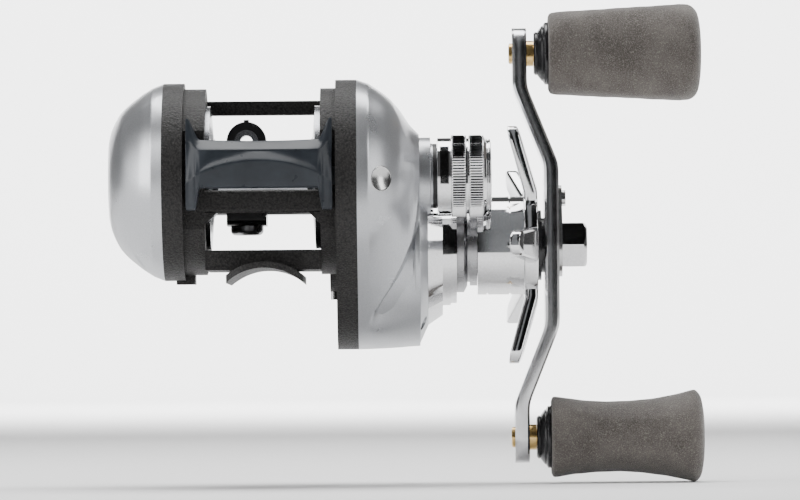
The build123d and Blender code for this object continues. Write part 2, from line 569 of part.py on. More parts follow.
def make_thumb_bar():
    """The bar under the thumb: a curved pad with horns above, side arms below and a clutch tab."""
    left, right = THUMB_LEFT, THUMB_RIGHT
    side = Polyline((THUMB_FRONT_Y, THUMB_LOW), (THUMB_FRONT_Y, THUMB_TOP - 1.5), (THUMB_FRONT_Y - 2.6, THUMB_TOP),
                    (THUMB_REAR_Y + 1.6, THUMB_TOP - 4.4), (THUMB_REAR_Y + 1.2, THUMB_TOP - 6.5),
                    (THUMB_REAR_Y, THUMB_LOW + 1.2), (THUMB_REAR_Y + 1.0, THUMB_LOW), close=True)
    bar = extrude(section(left) * make_face(side), right - left)
    for x0, x1 in ((left, left + 2.6), (right - 2.6, right)):
        horn = Polyline((THUMB_FRONT_Y, THUMB_LOW), (THUMB_FRONT_Y, HORN_TOP), (THUMB_FRONT_Y - 1.2, HORN_TOP),
                        (THUMB_REAR_Y + 1.6, THUMB_TOP - 3), (THUMB_REAR_Y + 1.0, THUMB_LOW), close=True)
        bar += extrude(section(x0) * make_face(horn), x1 - x0)
        bar += block(x0, x1, THUMB_REAR_Y + 2.6, THUMB_FRONT_Y, ARM_LOW, THUMB_LOW + 1)
    bar += block(right - 1, PLATE_FLOOR_X + 0.25, TAB_Y[0], TAB_Y[1], TAB_Z[0], TAB_Z[1])
    return bar


# ---------------------------------------------------------------- drive train and drag
def drive_train():
    """Everything on the drive shaft as far as the star drag, and the one-way bearing."""
    shaft = turned(DRIVE, (PLATE_X - 1.1, 0), (PLATE_X - 1.1, 2.5), (LEVEL_X, 2.5), (LEVEL_X, DRIVE_R),
                   (22.0, DRIVE_R), (22.0, 7.0), (25.4, 7.0), (25.4, DRIVE_R),
                   (ARM_X + ARM_T, DRIVE_R), (ARM_X + ARM_T, 2.5), (NUT_END_X - 0.6, 2.5), (NUT_END_X - 0.6, 0))
    flats = block(ARM_X, ARM_X + ARM_T, -60, 60, -60, 60) - block(ARM_X - 1, NUT_END_X, -60, 60,
                                                                 DRIVE_Z - FLAT_HALF, DRIVE_Z + FLAT_HALF)
    save("drive_shaft", shaft - flats)
    main_end = MAIN_X + MAIN_T
    main = extrude(section(MAIN_X, DRIVE) * gear_face(MAIN_TEETH, MAIN_MODULE), MAIN_T)
    main -= disc(DRIVE, DRIVE_R, MAIN_X - 1, main_end + 1)
    main -= disc(DRIVE, 12.0, MAIN_X + 1.4, main_end + 1)
    for index in range(6):
        main -= disc(along(DRIVE, pi * index / 3, 9.6), 1.3, MAIN_X - 1, main_end)
    save("main_gear", main)
    drags = [tube(DRIVE, 7.0, DRIVE_R, 25.4, MAIN_X)]
    for index in range(3):
        start = MAIN_X + 1.4 + 0.8 * index
        drags.append(tube(DRIVE, 11.8 - 0.2 * (index % 2), DRIVE_R, start, start + 0.8))
    save("drag_washers", drags)
    save("pressure_plate", tube(DRIVE, 10.0, DRIVE_R, MAIN_X + 3.8, 31.5))
    sleeve = turned(DRIVE, (31.5, DRIVE_R), (31.5, 5.8), (33.0, 5.8), (33.0, TUBE_R), (COLLAR_END_X + 0.1, TUBE_R),
                    (COLLAR_END_X + 0.1, 10.9), (46.0, 10.9), (46.8, 9.4), (46.8, 8.5), (47.4, 8.5), (47.4, 9.35),
                    (49.1, 9.35), (49.1, DRIVE_R))
    save("inner_tube", sleeve)
    collar = turned(DRIVE, (COLLAR_X, BEARING_OUT), (COLLAR_X, 18.5), (41.0, 16.2), (41.0, 13.9), (42.9, 13.9),
                    (42.9, 13.4), (COLLAR_END_X, 13.4), (COLLAR_END_X, BEARING_OUT))
    cap_room = disc(SPOOL, CAP_R + 0.5, 38.95, 60) + disc(SPOOL, 9.05, 30, 39)
    save("drag_collar", collar - cap_room)
    rollers = [tube(DRIVE, BEARING_OUT - 0.02, 7.3, COLLAR_X + 0.2, COLLAR_END_X)]
    for index in range(8):
        rollers.append(disc(along(DRIVE, pi * index / 4, 6.17), 1.1, COLLAR_X + 0.4, COLLAR_END_X - 0.3))
    save("one_way_bearing", rollers)
    save("drive_bearing", ball_bearing(DRIVE, BEARING_R, 2.5 + RUN, PLATE_X - 1.1, 3.4))
    springs = [turned(DRIVE, (49.6 + 1.0 * n, DRIVE_R), (49.6 + 1.0 * n, 3.6), (50.0 + 1.0 * n, 6.8),
                      (50.5 + 1.0 * n, 6.8), (50.2 + 1.0 * n, 3.6), (50.2 + 1.0 * n, DRIVE_R)) for n in range(3)]
    save("drag_spring_washers", springs)
    teeth = 12
    points = []
    for tooth in range(teeth):
        for radius, share in ((8.4, 0.0), (6.9, 0.15), (6.9, 0.3)):
            points.append(along((0, 0), 2 * pi * (tooth + share) / teeth, radius))
    wheel = extrude(section(21.0, DRIVE) * make_face(Polyline(*points, close=True)), 1.0)
    save("ratchet", wheel - disc(DRIVE, DRIVE_R, 20, 23))


def level_wind():
    """Gears, worm, guard, rod and the travelling line guide."""
    drive = extrude(section(LEVEL_X, DRIVE) * gear_face(LEVEL_TEETH, LEVEL_MODULE), LEVEL_T)
    save("level_wind_drive_gear", drive - disc(DRIVE, DRIVE_R, 0, 60))
    turn = meshing_turn(DRIVE, WORM, LEVEL_TEETH, WORM_TEETH)
    driven = extrude(section(LEVEL_X, WORM) * gear_face(WORM_TEETH, LEVEL_MODULE, turn=turn), LEVEL_T)
    save("worm_gear", driven - disc(WORM, 1.6, 0, 60))
    left, right = WINDOW_LEFT, WINDOW_RIGHT
    worm = disc(WORM, WORM_R, left - 0.9, right + 1.9) + disc(WORM, 1.6, left - 2.9, LEVEL_X + LEVEL_T + 0.6)
    save("worm_shaft", worm)
    save("worm_bushings", [tube(WORM, 3.1, 1.6 + RUN, left - 3.0, left - 1.0),
                           tube(WORM, 3.1, 1.6 + RUN, PLATE_X - 1.4, PLATE_FLOOR_X)])
    guard = tube(WORM, GUARD_R, WORM_R + 0.3, left - 1.0, right + 1.0)
    slot = block(left + 0.6, right - 0.6, WORM_Y - 1.7, WORM_Y + 1.7, WORM_Z - 6, WORM_Z)
    save("worm_guard", guard - slot)
    save("guide_rod", disc((ROD_Y, ROD_Z), ROD_R, left - 2, right + 2))
    carriage = block(GUIDE_X - GUIDE_W / 2, GUIDE_X + GUIDE_W / 2, WORM_Y - 5.4, ROD_Y + 2.2, CARRIAGE_LOW, 22.4)
    carriage = fillet(carriage.edges().filter_by(Axis.X), 1.5)
    eye_plane = Plane(origin=(GUIDE_X, WORM_Y + 2.2, GUIDE_EYE_Z), x_dir=(1, 0, 0), z_dir=(0, -1, 0))
    upright = Circle(GUIDE_W / 2) + Pos(0, -5) * Rectangle(GUIDE_W, 10)
    carriage += extrude(eye_plane * upright, 4.4)
    carriage += block(GUIDE_X - 0.6, GUIDE_X + 0.6, WORM_Y - 1.2, WORM_Y + 1.2, GUIDE_EYE_Z + GUIDE_W / 2 - 0.3,
                      GUIDE_EYE_Z + GUIDE_W / 2 + 0.5)
    opening = Pos(0, -2.0) * Rot(0, 0, 90) * SlotCenterToCenter(4.0, INSERT_W)
    carriage -= extrude(eye_plane * opening, 4.4)
    carriage -= disc(WORM, GUARD_R + 0.15, -20, 20)
    carriage -= disc((ROD_Y, ROD_Z), ROD_R + 0.15, -20, 20)
    pawl_hole = Plane.XY.offset(0) * Pos(GUIDE_X, WORM_Y) * Circle(2.3)
    carriage -= extrude(pawl_hole, WORM_Z)
    save("line_guide", carriage)
    eye = Pos(0, -2.0) * Rot(0, 0, 90) * SlotCenterToCenter(4.0, EYE_W)
    save("line_guide_insert", extrude(eye_plane * (opening - eye), 4.4))
    pawl_top = WORM_Z - WORM_R - 0.15
    pawl = extrude(Plane.XY.offset(CARRIAGE_LOW) * Pos(GUIDE_X, WORM_Y) * Circle(1.3), pawl_top - CARRIAGE_LOW)
    save("line_pawl", pawl)
    cap = extrude(Plane.XY.offset(8.4) * Pos(GUIDE_X, WORM_Y) * Circle(3.9), CARRIAGE_LOW - 8.4)
    cap = fillet(cap.edges().sort_by(Axis.Z)[0], 1.2)
    cap += extrude(Plane.XY.offset(CARRIAGE_LOW) * Pos(GUIDE_X, WORM_Y) * (Circle(2.3) - Circle(1.3)), 1.5)
    cap -= block(GUIDE_X - 2, GUIDE_X + 2, WORM_Y - 0.4, WORM_Y + 0.4, 8.0, 9.0)
    save("pawl_cap", cap)


def star_drag():
    """The star drag: its hub and its five-armed wheel."""
    hub = turned(DRIVE, (HUB_X, 7.4), (HUB_X, HUB_R), (STAR_X, HUB_R), (STAR_X, DRIVE_R + RUN),
                 (54.0, DRIVE_R + RUN), (54.0, 7.4))
    for x in (51.3, 56.6):
        hub -= tube(DRIVE, HUB_R + 1, HUB_R - 0.35, x, x + 0.35)
    save("star_hub", hub)
    tip_x = STAR_X - STAR_DROP
    side = Polyline((5.0, STAR_X), (14.0, STAR_X), (STAR_R + 1, tip_x), (STAR_R + 1, tip_x + 2.9),
                    (15.0, STAR_END_X), (5.0, STAR_END_X), close=True)
    outline = hull_face([(10.0, 0, 5.0), (STAR_R - 3.0, 0, 3.0)])
    wheel = disc(DRIVE, 13.0, STAR_X, STAR_END_X)
    side_plane = Plane(origin=(0, 0, 0), x_dir=(0, 1, 0), z_dir=(0, 0, -1))
    slab = extrude(side_plane * make_face(side), 6, both=True)
    arm = slab & extrude(section(STAR_X - 10) * outline, 20)
    for index in range(STAR_ARMS):
        angle = 180 + 360 * index / STAR_ARMS
        wheel += Pos(0, *DRIVE) * Rot(angle, 0, 0) * arm
    wheel -= disc(DRIVE, DRIVE_R + RUN, 0, 90)
    save("star_wheel", wheel)


def handle():
    """Arm, washers, nut, retainer, posts and the two knobs."""
    save("handle_washers", [tube(DRIVE, 8.2, DRIVE_R, STAR_END_X + 0.1, 64.2), tube(DRIVE, 6.4, DRIVE_R, 64.2, ARM_X)])
    inner_face = [(DRIVE_Z - 60, ARM_END_X), (DRIVE_Z - ARM_BEND, ARM_END_X), (DRIVE_Z - ARM_FLAT, ARM_X),
                  (DRIVE_Z + ARM_FLAT, ARM_X), (DRIVE_Z + ARM_BEND, ARM_END_X), (DRIVE_Z + 60, ARM_END_X)]
    corners = [(x, z) for z, x in inner_face] + [(x + ARM_T, z) for z, x in reversed(inner_face)]
    side_plane = Plane(origin=(0, DRIVE_Y, 0), x_dir=(1, 0, 0), z_dir=(0, -1, 0))
    arm = extrude(side_plane * make_face(Polyline(*corners, close=True)), 12, both=True)
    hub = (DRIVE_Y, DRIVE_Z, ARM_HUB_R)
    halves = prism([(*KNOB_LOW, ARM_END_R), hub], 40, 80) + prism([hub, (*KNOB_HIGH, ARM_END_R)], 40, 80)
    arm &= halves
    flats = disc(DRIVE, DRIVE_R, 50, 80) & block(50, 80, -60, 60, DRIVE_Z - FLAT_HALF, DRIVE_Z + FLAT_HALF)
    arm -= flats
    for axis in (KNOB_HIGH, KNOB_LOW):
        arm -= disc(axis, POST_R, 40, 80)
    save("handle_arm", arm)
    top = ARM_X + ARM_T
    hexagon = RegularPolygon(NUT_FLATS / sqrt(3), 6)
    nut = extrude(section(top, DRIVE) * hexagon, NUT_END_X - top)
    nut &= turned(DRIVE, (top, 0), (top, 6.2), (NUT_END_X - 1.1, 6.2), (NUT_END_X, 4.6), (NUT_END_X, 0))
    nut -= disc(DRIVE, 2.5, top - 1, NUT_END_X - 0.5)
    save("handle_nut", nut)
    screw_axis = (DRIVE_Y, DRIVE_Z + 11.0)
    clip = prism([(DRIVE_Y, DRIVE_Z, 7.4), (*screw_axis, 3.0)], top, top + 0.8)
    clip -= extrude(section(top - 1, DRIVE) * RegularPolygon((NUT_FLATS + 0.3) / sqrt(3), 6), 4)
    save("nut_retainer", clip - disc(screw_axis, 1.0, top - 1, top + 2))
    save("retainer_screw", screws([screw_axis], [top + 0.8], [top], head_r=1.8, head_t=0.9))
    posts = []
    for axis in (KNOB_HIGH, KNOB_LOW):
        posts.append(turned(axis, (ARM_END_X - 0.8, 0), (ARM_END_X - 0.8, 2.0), (ARM_END_X - 0.6, 2.4), (ARM_END_X, 2.4),
                            (ARM_END_X, POST_R), (ARM_END_X + ARM_T, POST_R), (ARM_END_X + ARM_T, 3.0),
                            (BOOT_X - 0.1, 3.0), (BOOT_X - 0.1, POST_R), (POST_END_X, POST_R), (POST_END_X, 0)))
    save("knob_posts", posts)
    for letter, axis, scoop in (("a", KNOB_HIGH, 0), ("b", KNOB_LOW, 90)):
        save(f"knob_{letter}_boot", turned(axis, (BOOT_X, BUSH_R), (BOOT_X, 4.9), (GRIP_X - 0.7, 7.3), (GRIP_X, 7.3),
                                           (GRIP_X, CORE_R), (POST_END_X + 2.0, CORE_R), (POST_END_X + 2.0, 0),
                                           (POST_END_X + 0.5, 0), (POST_END_X + 0.5, POST_R + RUN),
                                           (BOOT_X + 4.0, POST_R + RUN), (BOOT_X + 4.0, BUSH_R)))
        save(f"knob_{letter}_bushing", tube(axis, BUSH_R, POST_R + RUN, BOOT_X, BOOT_X + 4.0))
        save(f"knob_{letter}_grip", make_grip(axis, scoop))


def make_grip(axis, scoop):
    """A foam grip: a flared body with two opposite hollows, the scoop angle giving their side."""
    end = GRIP_X + GRIP_L
    body = turned(axis, (GRIP_X, 0), (GRIP_X, 8.4), (GRIP_X + 0.6, GRIP_NECK_R), (GRIP_X + 2.0, GRIP_NECK_R + 0.3),
                  (end - 5.0, GRIP_END_R), (end - 2.6, GRIP_END_R - 0.3), (end - 1.0, GRIP_END_R - 1.8),
                  (end - 0.2, GRIP_END_R - 5.0), (end, 0))
    major = GRIP_WAIST_R + SCOOP_R - (GRIP_WAIST_R - SCOOP_CROWN_R)
    waist_x = GRIP_X + 14.4
    for side in (0, 180):
        hollow = Pos(waist_x, 0, GRIP_WAIST_R + SCOOP_R) * Rot(90, 0, 0) * Torus(major, SCOOP_CROWN_R)
        body &= Pos(0, *axis) * Rot(scoop + side + 90, 0, 0) * hollow
    return body - disc(axis, CORE_R, GRIP_X - 1, POST_END_X + 2.0)


def cast_control():
    """The knurled cap on the neck, its rubber ring and the shim that brakes the shaft end."""
    save("cast_o_ring", tube(SPOOL, 7.5, NECK_R, 38.9, 39.8))
    cap = turned(SPOOL, (CAP_START_X, NECK_R + RUN), (CAP_START_X, 8.9), (43.1, 8.9), (43.1, CAP_R), (46.6, CAP_R),
                 (46.6, CAP_R - 0.7), (47.2, CAP_R - 0.7), (47.2, CAP_R), (50.6, CAP_R), (51.4, 8.5), (CAP_END_X, 8.4),
                 (CAP_END_X, 0), (SHIM_X + 0.4, 0), (SHIM_X + 0.4, NECK_R + RUN))
    save("cast_control_cap", cap)
    save("tension_shim", disc(SPOOL, 4.0, SHIM_X + 0.02, SHIM_X + 0.4))


os.makedirs("parts", exist_ok=True)
frame_and_covers()
spool_and_brake()
clutch()
drive_train()
level_wind()
star_drag()
handle()
cast_control()
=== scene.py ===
"""Low-profile baitcasting reel: finishes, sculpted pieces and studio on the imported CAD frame.

+X points to the handle side, +Y forward to the rod tip and +Z up, in metres. The origin is the
middle of the foot's hollow underside. Each sub-assembly is a class whose fields hold its sizes.
"""

import json
import logging
from dataclasses import dataclass, field
from enum import Enum
from math import cos, pi, radians, sin

import bmesh
import bpy
import numpy as np
from mathutils import Matrix, Vector


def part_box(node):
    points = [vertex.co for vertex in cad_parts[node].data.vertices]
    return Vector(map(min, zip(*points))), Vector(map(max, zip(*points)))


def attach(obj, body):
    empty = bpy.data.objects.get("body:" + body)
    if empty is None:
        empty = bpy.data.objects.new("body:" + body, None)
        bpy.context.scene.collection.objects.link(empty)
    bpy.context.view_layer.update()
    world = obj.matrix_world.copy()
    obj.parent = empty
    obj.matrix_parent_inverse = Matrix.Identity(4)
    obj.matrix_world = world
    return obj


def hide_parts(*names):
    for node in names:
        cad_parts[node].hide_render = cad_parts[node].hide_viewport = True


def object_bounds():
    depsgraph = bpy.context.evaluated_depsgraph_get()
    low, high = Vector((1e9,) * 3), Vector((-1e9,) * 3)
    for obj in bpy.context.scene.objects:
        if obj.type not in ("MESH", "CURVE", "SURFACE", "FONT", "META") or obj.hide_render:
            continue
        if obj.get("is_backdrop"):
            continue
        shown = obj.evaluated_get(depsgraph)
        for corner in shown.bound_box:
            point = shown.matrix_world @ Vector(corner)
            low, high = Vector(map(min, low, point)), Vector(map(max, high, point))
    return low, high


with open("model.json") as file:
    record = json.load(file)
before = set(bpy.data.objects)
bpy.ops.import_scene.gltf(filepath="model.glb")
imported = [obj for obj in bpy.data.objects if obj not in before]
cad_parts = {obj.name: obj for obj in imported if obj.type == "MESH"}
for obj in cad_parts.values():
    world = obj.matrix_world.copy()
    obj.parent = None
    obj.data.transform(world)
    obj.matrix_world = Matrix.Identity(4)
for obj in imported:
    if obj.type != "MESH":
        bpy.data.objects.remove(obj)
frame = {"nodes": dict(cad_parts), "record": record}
LOG = logging.getLogger("reel")
MM = 0.001
Array = np.ndarray
Colour = tuple[float, float, float]


# ---------------------------------------------------------------- material graphs
class Graph:
    """One material's node tree, with short calls for the nodes used here."""

    def __init__(self, name: str) -> None:
        """Start an empty material whose surface is one Principled shader.

        Args:
            name: The material's name.
        """
        self.material = bpy.data.materials.new(name)
        self.material.use_nodes = True
        self.tree = self.material.node_tree
        self.tree.nodes.clear()
        self.shader = self.tree.nodes.new("ShaderNodeBsdfPrincipled")
        output = self.tree.nodes.new("ShaderNodeOutputMaterial")
        self.tree.links.new(self.shader.outputs["BSDF"], output.inputs["Surface"])
        self.place = self.tree.nodes.new("ShaderNodeTexCoord").outputs["Object"]

    def link(self, value, socket) -> None:
        """Feed a socket from another socket or from a plain value.

        Args:
            value: An output socket, a number or a colour.
            socket: The input socket.
        """
        if isinstance(value, bpy.types.NodeSocket):
            self.tree.links.new(value, socket)
        elif isinstance(value, tuple) and len(value) == 3 and socket.type == "RGBA":
            socket.default_value = (*value, 1.0)
        else:
            socket.default_value = value

    def stretched(self, scale: tuple[float, float, float]):
        """Give object coordinates multiplied by one factor for each axis.

        Args:
            scale: The three factors.

        Returns:
            The vector socket.
        """
        node = self.tree.nodes.new("ShaderNodeMapping")
        self.link(self.place, node.inputs["Vector"])
        node.inputs["Scale"].default_value = scale
        return node.outputs["Vector"]

    def noise(self, size: float, detail: float = 3.0, vector=None, rough: float = 0.55):
        """Give fractal noise whose grains are about one size across.

        Args:
            size: Grain size in metres.
            detail: Octaves.
            vector: Coordinates, or None for object coordinates.
            rough: Share of the finer octaves.

        Returns:
            The noise value socket.
        """
        node = self.tree.nodes.new("ShaderNodeTexNoise")
        self.link(vector or self.place, node.inputs["Vector"])
        node.inputs["Scale"].default_value = 1.0 / size
        node.inputs["Detail"].default_value = detail
        node.inputs["Roughness"].default_value = rough
        return node.outputs["Fac"]

    def cells(self, size: float, feature: str = "F1", vector=None):
        """Give the distance to the nearest of scattered points.

        Args:
            size: Cell size in metres.
            feature: Which distance is read.
            vector: Coordinates, or None for object coordinates.

        Returns:
            The distance socket.
        """
        node = self.tree.nodes.new("ShaderNodeTexVoronoi")
        node.feature = feature
        self.link(vector or self.place, node.inputs["Vector"])
        node.inputs["Scale"].default_value = 1.0 / size
        return node.outputs["Distance"]

    def spread(self, value, low: float, high: float, start: float = 0.0, end: float = 1.0):
        """Map a range of a value to another range, clamped.

        Args:
            value: The socket read.
            low: Input that gives start.
            high: Input that gives end.
            start: Output at low.
            end: Output at high.

        Returns:
            The mapped socket.
        """
        node = self.tree.nodes.new("ShaderNodeMapRange")
        self.link(value, node.inputs["Value"])
        for name, number in (("From Min", low), ("From Max", high), ("To Min", start), ("To Max", end)):
            node.inputs[name].default_value = number
        return node.outputs["Result"]

    def math(self, operation: str, first, second=0.5):
        """Apply one arithmetic operation.

        Args:
            operation: Blender's name for it.
            first: First operand.
            second: Second operand.

        Returns:
            The result socket.
        """
        node = self.tree.nodes.new("ShaderNodeMath")
        node.operation = operation
        self.link(first, node.inputs[0])
        self.link(second, node.inputs[1])
        return node.outputs[0]

    def mix(self, share, first, second):
        """Blend two colours.

        Args:
            share: Share of the second colour.
            first: First colour.
            second: Second colour.

        Returns:
            The colour socket.
        """
        node = self.tree.nodes.new("ShaderNodeMix")
        node.data_type = "RGBA"
        self.link(share, node.inputs[0])
        self.link(first, node.inputs[6])
        self.link(second, node.inputs[7])
        return node.outputs[2]

    def axis(self, name: str):
        """Give one object coordinate in metres.

        Args:
            name: X, Y or Z.

        Returns:
            The value socket.
        """
        node = self.tree.nodes.new("ShaderNodeSeparateXYZ")
        self.link(self.place, node.inputs[0])
        return node.outputs[name]

    def edges(self, radius: float, low: float = 0.02, high: float = 0.35):
        """Give 1 on narrow convex or concave edges and 0 on flats, for wear.

        Args:
            radius: Reach of the edge in metres.
            low: Difference between the rounded and true normal that starts it.
            high: Difference that fills it.

        Returns:
            The mask socket.
        """
        rounded = self.tree.nodes.new("ShaderNodeBevel")
        rounded.samples = 4
        rounded.inputs["Radius"].default_value = radius
        geometry = self.tree.nodes.new("ShaderNodeNewGeometry")
        distance = self.tree.nodes.new("ShaderNodeVectorMath")
        distance.operation = "DISTANCE"
        self.link(rounded.outputs["Normal"], distance.inputs[0])
        self.link(geometry.outputs["Normal"], distance.inputs[1])
        return self.spread(distance.outputs["Value"], low, high)

    def bump(self, height, depth: float, strength: float = 1.0, under=None):
        """Turn a height into a normal.

        Args:
            height: Height socket, 0 to 1.
            depth: Height of 1 in metres.
            strength: Share of the effect.
            under: A normal to add to.

        Returns:
            The normal socket.
        """
        node = self.tree.nodes.new("ShaderNodeBump")
        self.link(height, node.inputs["Height"])
        node.inputs["Distance"].default_value = depth
        node.inputs["Strength"].default_value = strength
        if under is not None:
            self.link(under, node.inputs["Normal"])
        return node.outputs["Normal"]

    def surface(self, **inputs) -> bpy.types.Material:
        """Set the Principled shader's inputs by name, with underscores for spaces.

        Args:
            **inputs: Sockets, numbers or colours.

        Returns:
            The finished material.
        """
        for name, value in inputs.items():
            self.link(value, self.shader.inputs[name.replace("_", " ")])
        return self.material


# ---------------------------------------------------------------- finishes
@dataclass(frozen=True)
class CrinklePaint:
    """Wrinkled black powder coat, with painted shade that darkens its valleys."""

    # dark is the painted shade colour of the wrinkle valleys; light is the crest colour.
    dark: Colour = (0.006, 0.006, 0.006)
    light: Colour = (0.036, 0.034, 0.033)
    grain: float = 0.42 * MM
    depth: float = 0.16 * MM

    def make(self, name: str) -> bpy.types.Material:
        """Build the material.

        Args:
            name: Its name.

        Returns:
            The material.
        """
        graph = Graph(name)
        lumps = graph.cells(self.grain, "SMOOTH_F1")
        fine = graph.noise(self.grain * 0.6, 4.0)
        height = graph.math("ADD", graph.math("MULTIPLY", lumps, -1.0), graph.math("MULTIPLY", fine, 0.9))
        # The colour follows the wrinkle height: painted shade darkens the valleys towards the dark colour.
        tone = graph.spread(height, -0.35, 0.45)
        return graph.surface(
            Base_Color=graph.mix(tone, self.dark, self.light),
            Roughness=graph.spread(fine, 0.3, 0.7, 0.42, 0.6),
            Specular_IOR_Level=0.28,
            Normal=graph.bump(height, self.depth, 0.9),
        )


@dataclass(frozen=True)
class FlakePaint:
    """Silver lacquer with fine metal flakes under a clear coat."""

    tone: Colour = (0.52, 0.53, 0.55)
    shade: Colour = (0.42, 0.43, 0.45)
    roughness: float = 0.30

    def make(self, name: str) -> bpy.types.Material:
        """Build the material.

        Args:
            name: Its name.

        Returns:
            The material.
        """
        graph = Graph(name)
        flakes = graph.noise(0.22 * MM, 2.0)
        clouds = graph.noise(9 * MM, 2.0)
        tint = graph.mix(graph.spread(flakes, 0.3, 0.7), self.shade, self.tone)
        rough = graph.spread(clouds, 0.3, 0.7, self.roughness - 0.03, self.roughness + 0.04)
        return graph.surface(
            Base_Color=tint,
            Metallic=0.82,
            Roughness=rough,
            Coat_Weight=0.25,
            Coat_Roughness=0.12,
            Normal=graph.bump(flakes, 0.004 * MM, 0.5),
        )


@dataclass(frozen=True)
class Metal:
    """Bare or plated metal with faint scratches."""

    tone: Colour
    roughness: float
    scratch: float = 0.25
    grain: tuple[float, float, float] = (1.0, 1.0, 1.0)
    variation: float = 0.06
    turned: float = 0.0

    def make(self, name: str) -> bpy.types.Material:
        """Build the material.

        Args:
            name: Its name.

        Returns:
            The material.
        """
        graph = Graph(name)
        streaks = graph.noise(0.5 * MM, 4.0, graph.stretched(self.grain))
        haze = graph.noise(5 * MM, 3.0)
        dark = tuple(channel * 0.82 for channel in self.tone)
        rough = graph.spread(haze, 0.3, 0.7, self.roughness, self.roughness + self.variation)
        normal = graph.bump(streaks, 0.012 * MM, self.scratch)
        if self.turned:
            rings = graph.noise(0.12 * MM, 2.0, graph.stretched((1.0, 0.012, 0.012)))
            normal = graph.bump(rings, 0.02 * MM, self.turned, normal)
        return graph.surface(
            Base_Color=graph.mix(graph.spread(streaks, 0.25, 0.75), dark, self.tone),
            Metallic=1.0,
            Roughness=rough,
            Normal=normal,
        )


@dataclass(frozen=True)
class Moulded:
    """Moulded plastic or rubber, with a fine skin texture and a little dust."""

    tone: Colour
    roughness: float
    texture: float = 0.02 * MM
    coat: float = 0.0
    specular: float = 0.5

    def make(self, name: str) -> bpy.types.Material:
        """Build the material.

        Args:
            name: Its name.

        Returns:
            The material.
        """
        graph = Graph(name)
        skin = graph.noise(0.25 * MM, 3.0)
        clouds = graph.noise(6 * MM, 3.0)
        light = tuple(min(1.0, channel * 1.35 + 0.004) for channel in self.tone)
        rough = graph.spread(clouds, 0.3, 0.7, self.roughness - 0.04, self.roughness + 0.06)
        return graph.surface(
            Base_Color=graph.mix(graph.spread(clouds, 0.35, 0.75), self.tone, light),
            Roughness=rough,
            Specular_IOR_Level=self.specular,
            Coat_Weight=self.coat,
            Coat_Roughness=0.08,
            Normal=graph.bump(skin, self.texture, 0.6),
        )


@dataclass(frozen=True)
class Foam:
    """Closed-cell foam: taupe grey with dark and pale specks and tiny open pores."""

    tone: Colour = (0.150, 0.135, 0.122)
    dark: Colour = (0.060, 0.053, 0.048)
    pale: Colour = (0.300, 0.275, 0.250)
    cell: float = 0.34 * MM

    def make(self, name: str) -> bpy.types.Material:
        """Build the material.

        Args:
            name: Its name.

        Returns:
            The material.
        """
        graph = Graph(name)
        cells = graph.cells(self.cell)
        grit = graph.noise(self.cell * 0.7, 4.0, rough=0.7)
        worn = graph.noise(8 * MM, 3.0)
        base = graph.mix(graph.spread(grit, 0.42, 0.66), self.dark, self.tone)
        base = graph.mix(graph.spread(grit, 0.56, 0.72), base, self.pale)
        base = graph.mix(graph.spread(worn, 0.35, 0.75, 0.0, 0.25), base, self.pale)
        height = graph.math("ADD", graph.math("MULTIPLY", cells, 0.8), grit)
        return graph.surface(
            Base_Color=base,
            Roughness=0.88,
            Sheen_Weight=0.25,
            Sheen_Roughness=0.5,
            Specular_IOR_Level=0.25,
            Normal=graph.bump(height, 0.12 * MM, 0.7),
        )


@dataclass(frozen=True)
class Weave:
    """Carbon cloth in clear resin, as pressed for drag washers."""

    tow: float = 0.7 * MM

    def make(self, name: str) -> bpy.types.Material:
        """Build the material.

        Args:
            name: Its name.

        Returns:
            The material.
        """
        graph = Graph(name)
        checker = graph.tree.nodes.new("ShaderNodeTexChecker")
        graph.link(graph.place, checker.inputs["Vector"])
        checker.inputs["Scale"].default_value = 1.0 / self.tow
        fibres = graph.noise(0.1 * MM, 2.0)
        return graph.surface(
            Base_Color=graph.mix(checker.outputs["Fac"], (0.012, 0.012, 0.013), (0.035, 0.035, 0.038)),
            Roughness=graph.spread(checker.outputs["Fac"], 0.0, 1.0, 0.28, 0.45),
            Normal=graph.bump(fibres, 0.02 * MM, 0.5),
        )


FINISHES = {
    "crinkle_black": CrinklePaint(),
    "satin_silver": FlakePaint(),
    "chrome": Metal((0.86, 0.86, 0.87), 0.055, scratch=0.05, variation=0.04),
    "brushed_grey": Metal((0.44, 0.44, 0.45), 0.26, turned=0.35),
    "steel": Metal((0.62, 0.62, 0.62), 0.20),
    "brass": Metal((0.80, 0.55, 0.22), 0.20),
    "carbon": Weave(),
    "black_plastic": Moulded((0.012, 0.012, 0.013), 0.22),
    "black_rubber": Moulded((0.010, 0.010, 0.010), 0.45, 0.03 * MM),
    "spool_alloy": Metal((0.42, 0.43, 0.45), 0.22, turned=0.25),
    "slate_gloss": Moulded((0.022, 0.026, 0.032), 0.30, 0.004 * MM, specular=0.22),
    "foam": Foam(),
    "handle_alloy": Metal((0.74, 0.74, 0.75), 0.16, scratch=0.35, grain=(0.6, 1.0, 0.12)),
    "magnet": Metal((0.50, 0.50, 0.51), 0.30),
}


class Finishes:
    """The object's materials, one for each slot of the record."""

    def __init__(self) -> None:
        """Build every finish once."""
        self.made = {slot: finish.make(f"finish_{slot}") for slot, finish in FINISHES.items()}

    def dress(self, obj: bpy.types.Object, slot: str) -> None:
        """Give an object one finish all over.

        Args:
            obj: The object.
            slot: The record's slot name.
        """
        if not obj.material_slots:
            obj.data.materials.append(self.made[slot])
        for entry in obj.material_slots:
            entry.link = "DATA"
            entry.material = self.made[slot]

    def dress_frame(self) -> None:
        """Give each CAD node the finish of its slot in the record."""
        for part in frame["record"]["subparts"]:
            self.dress(frame["nodes"][part["node"]], part["material_slot"])


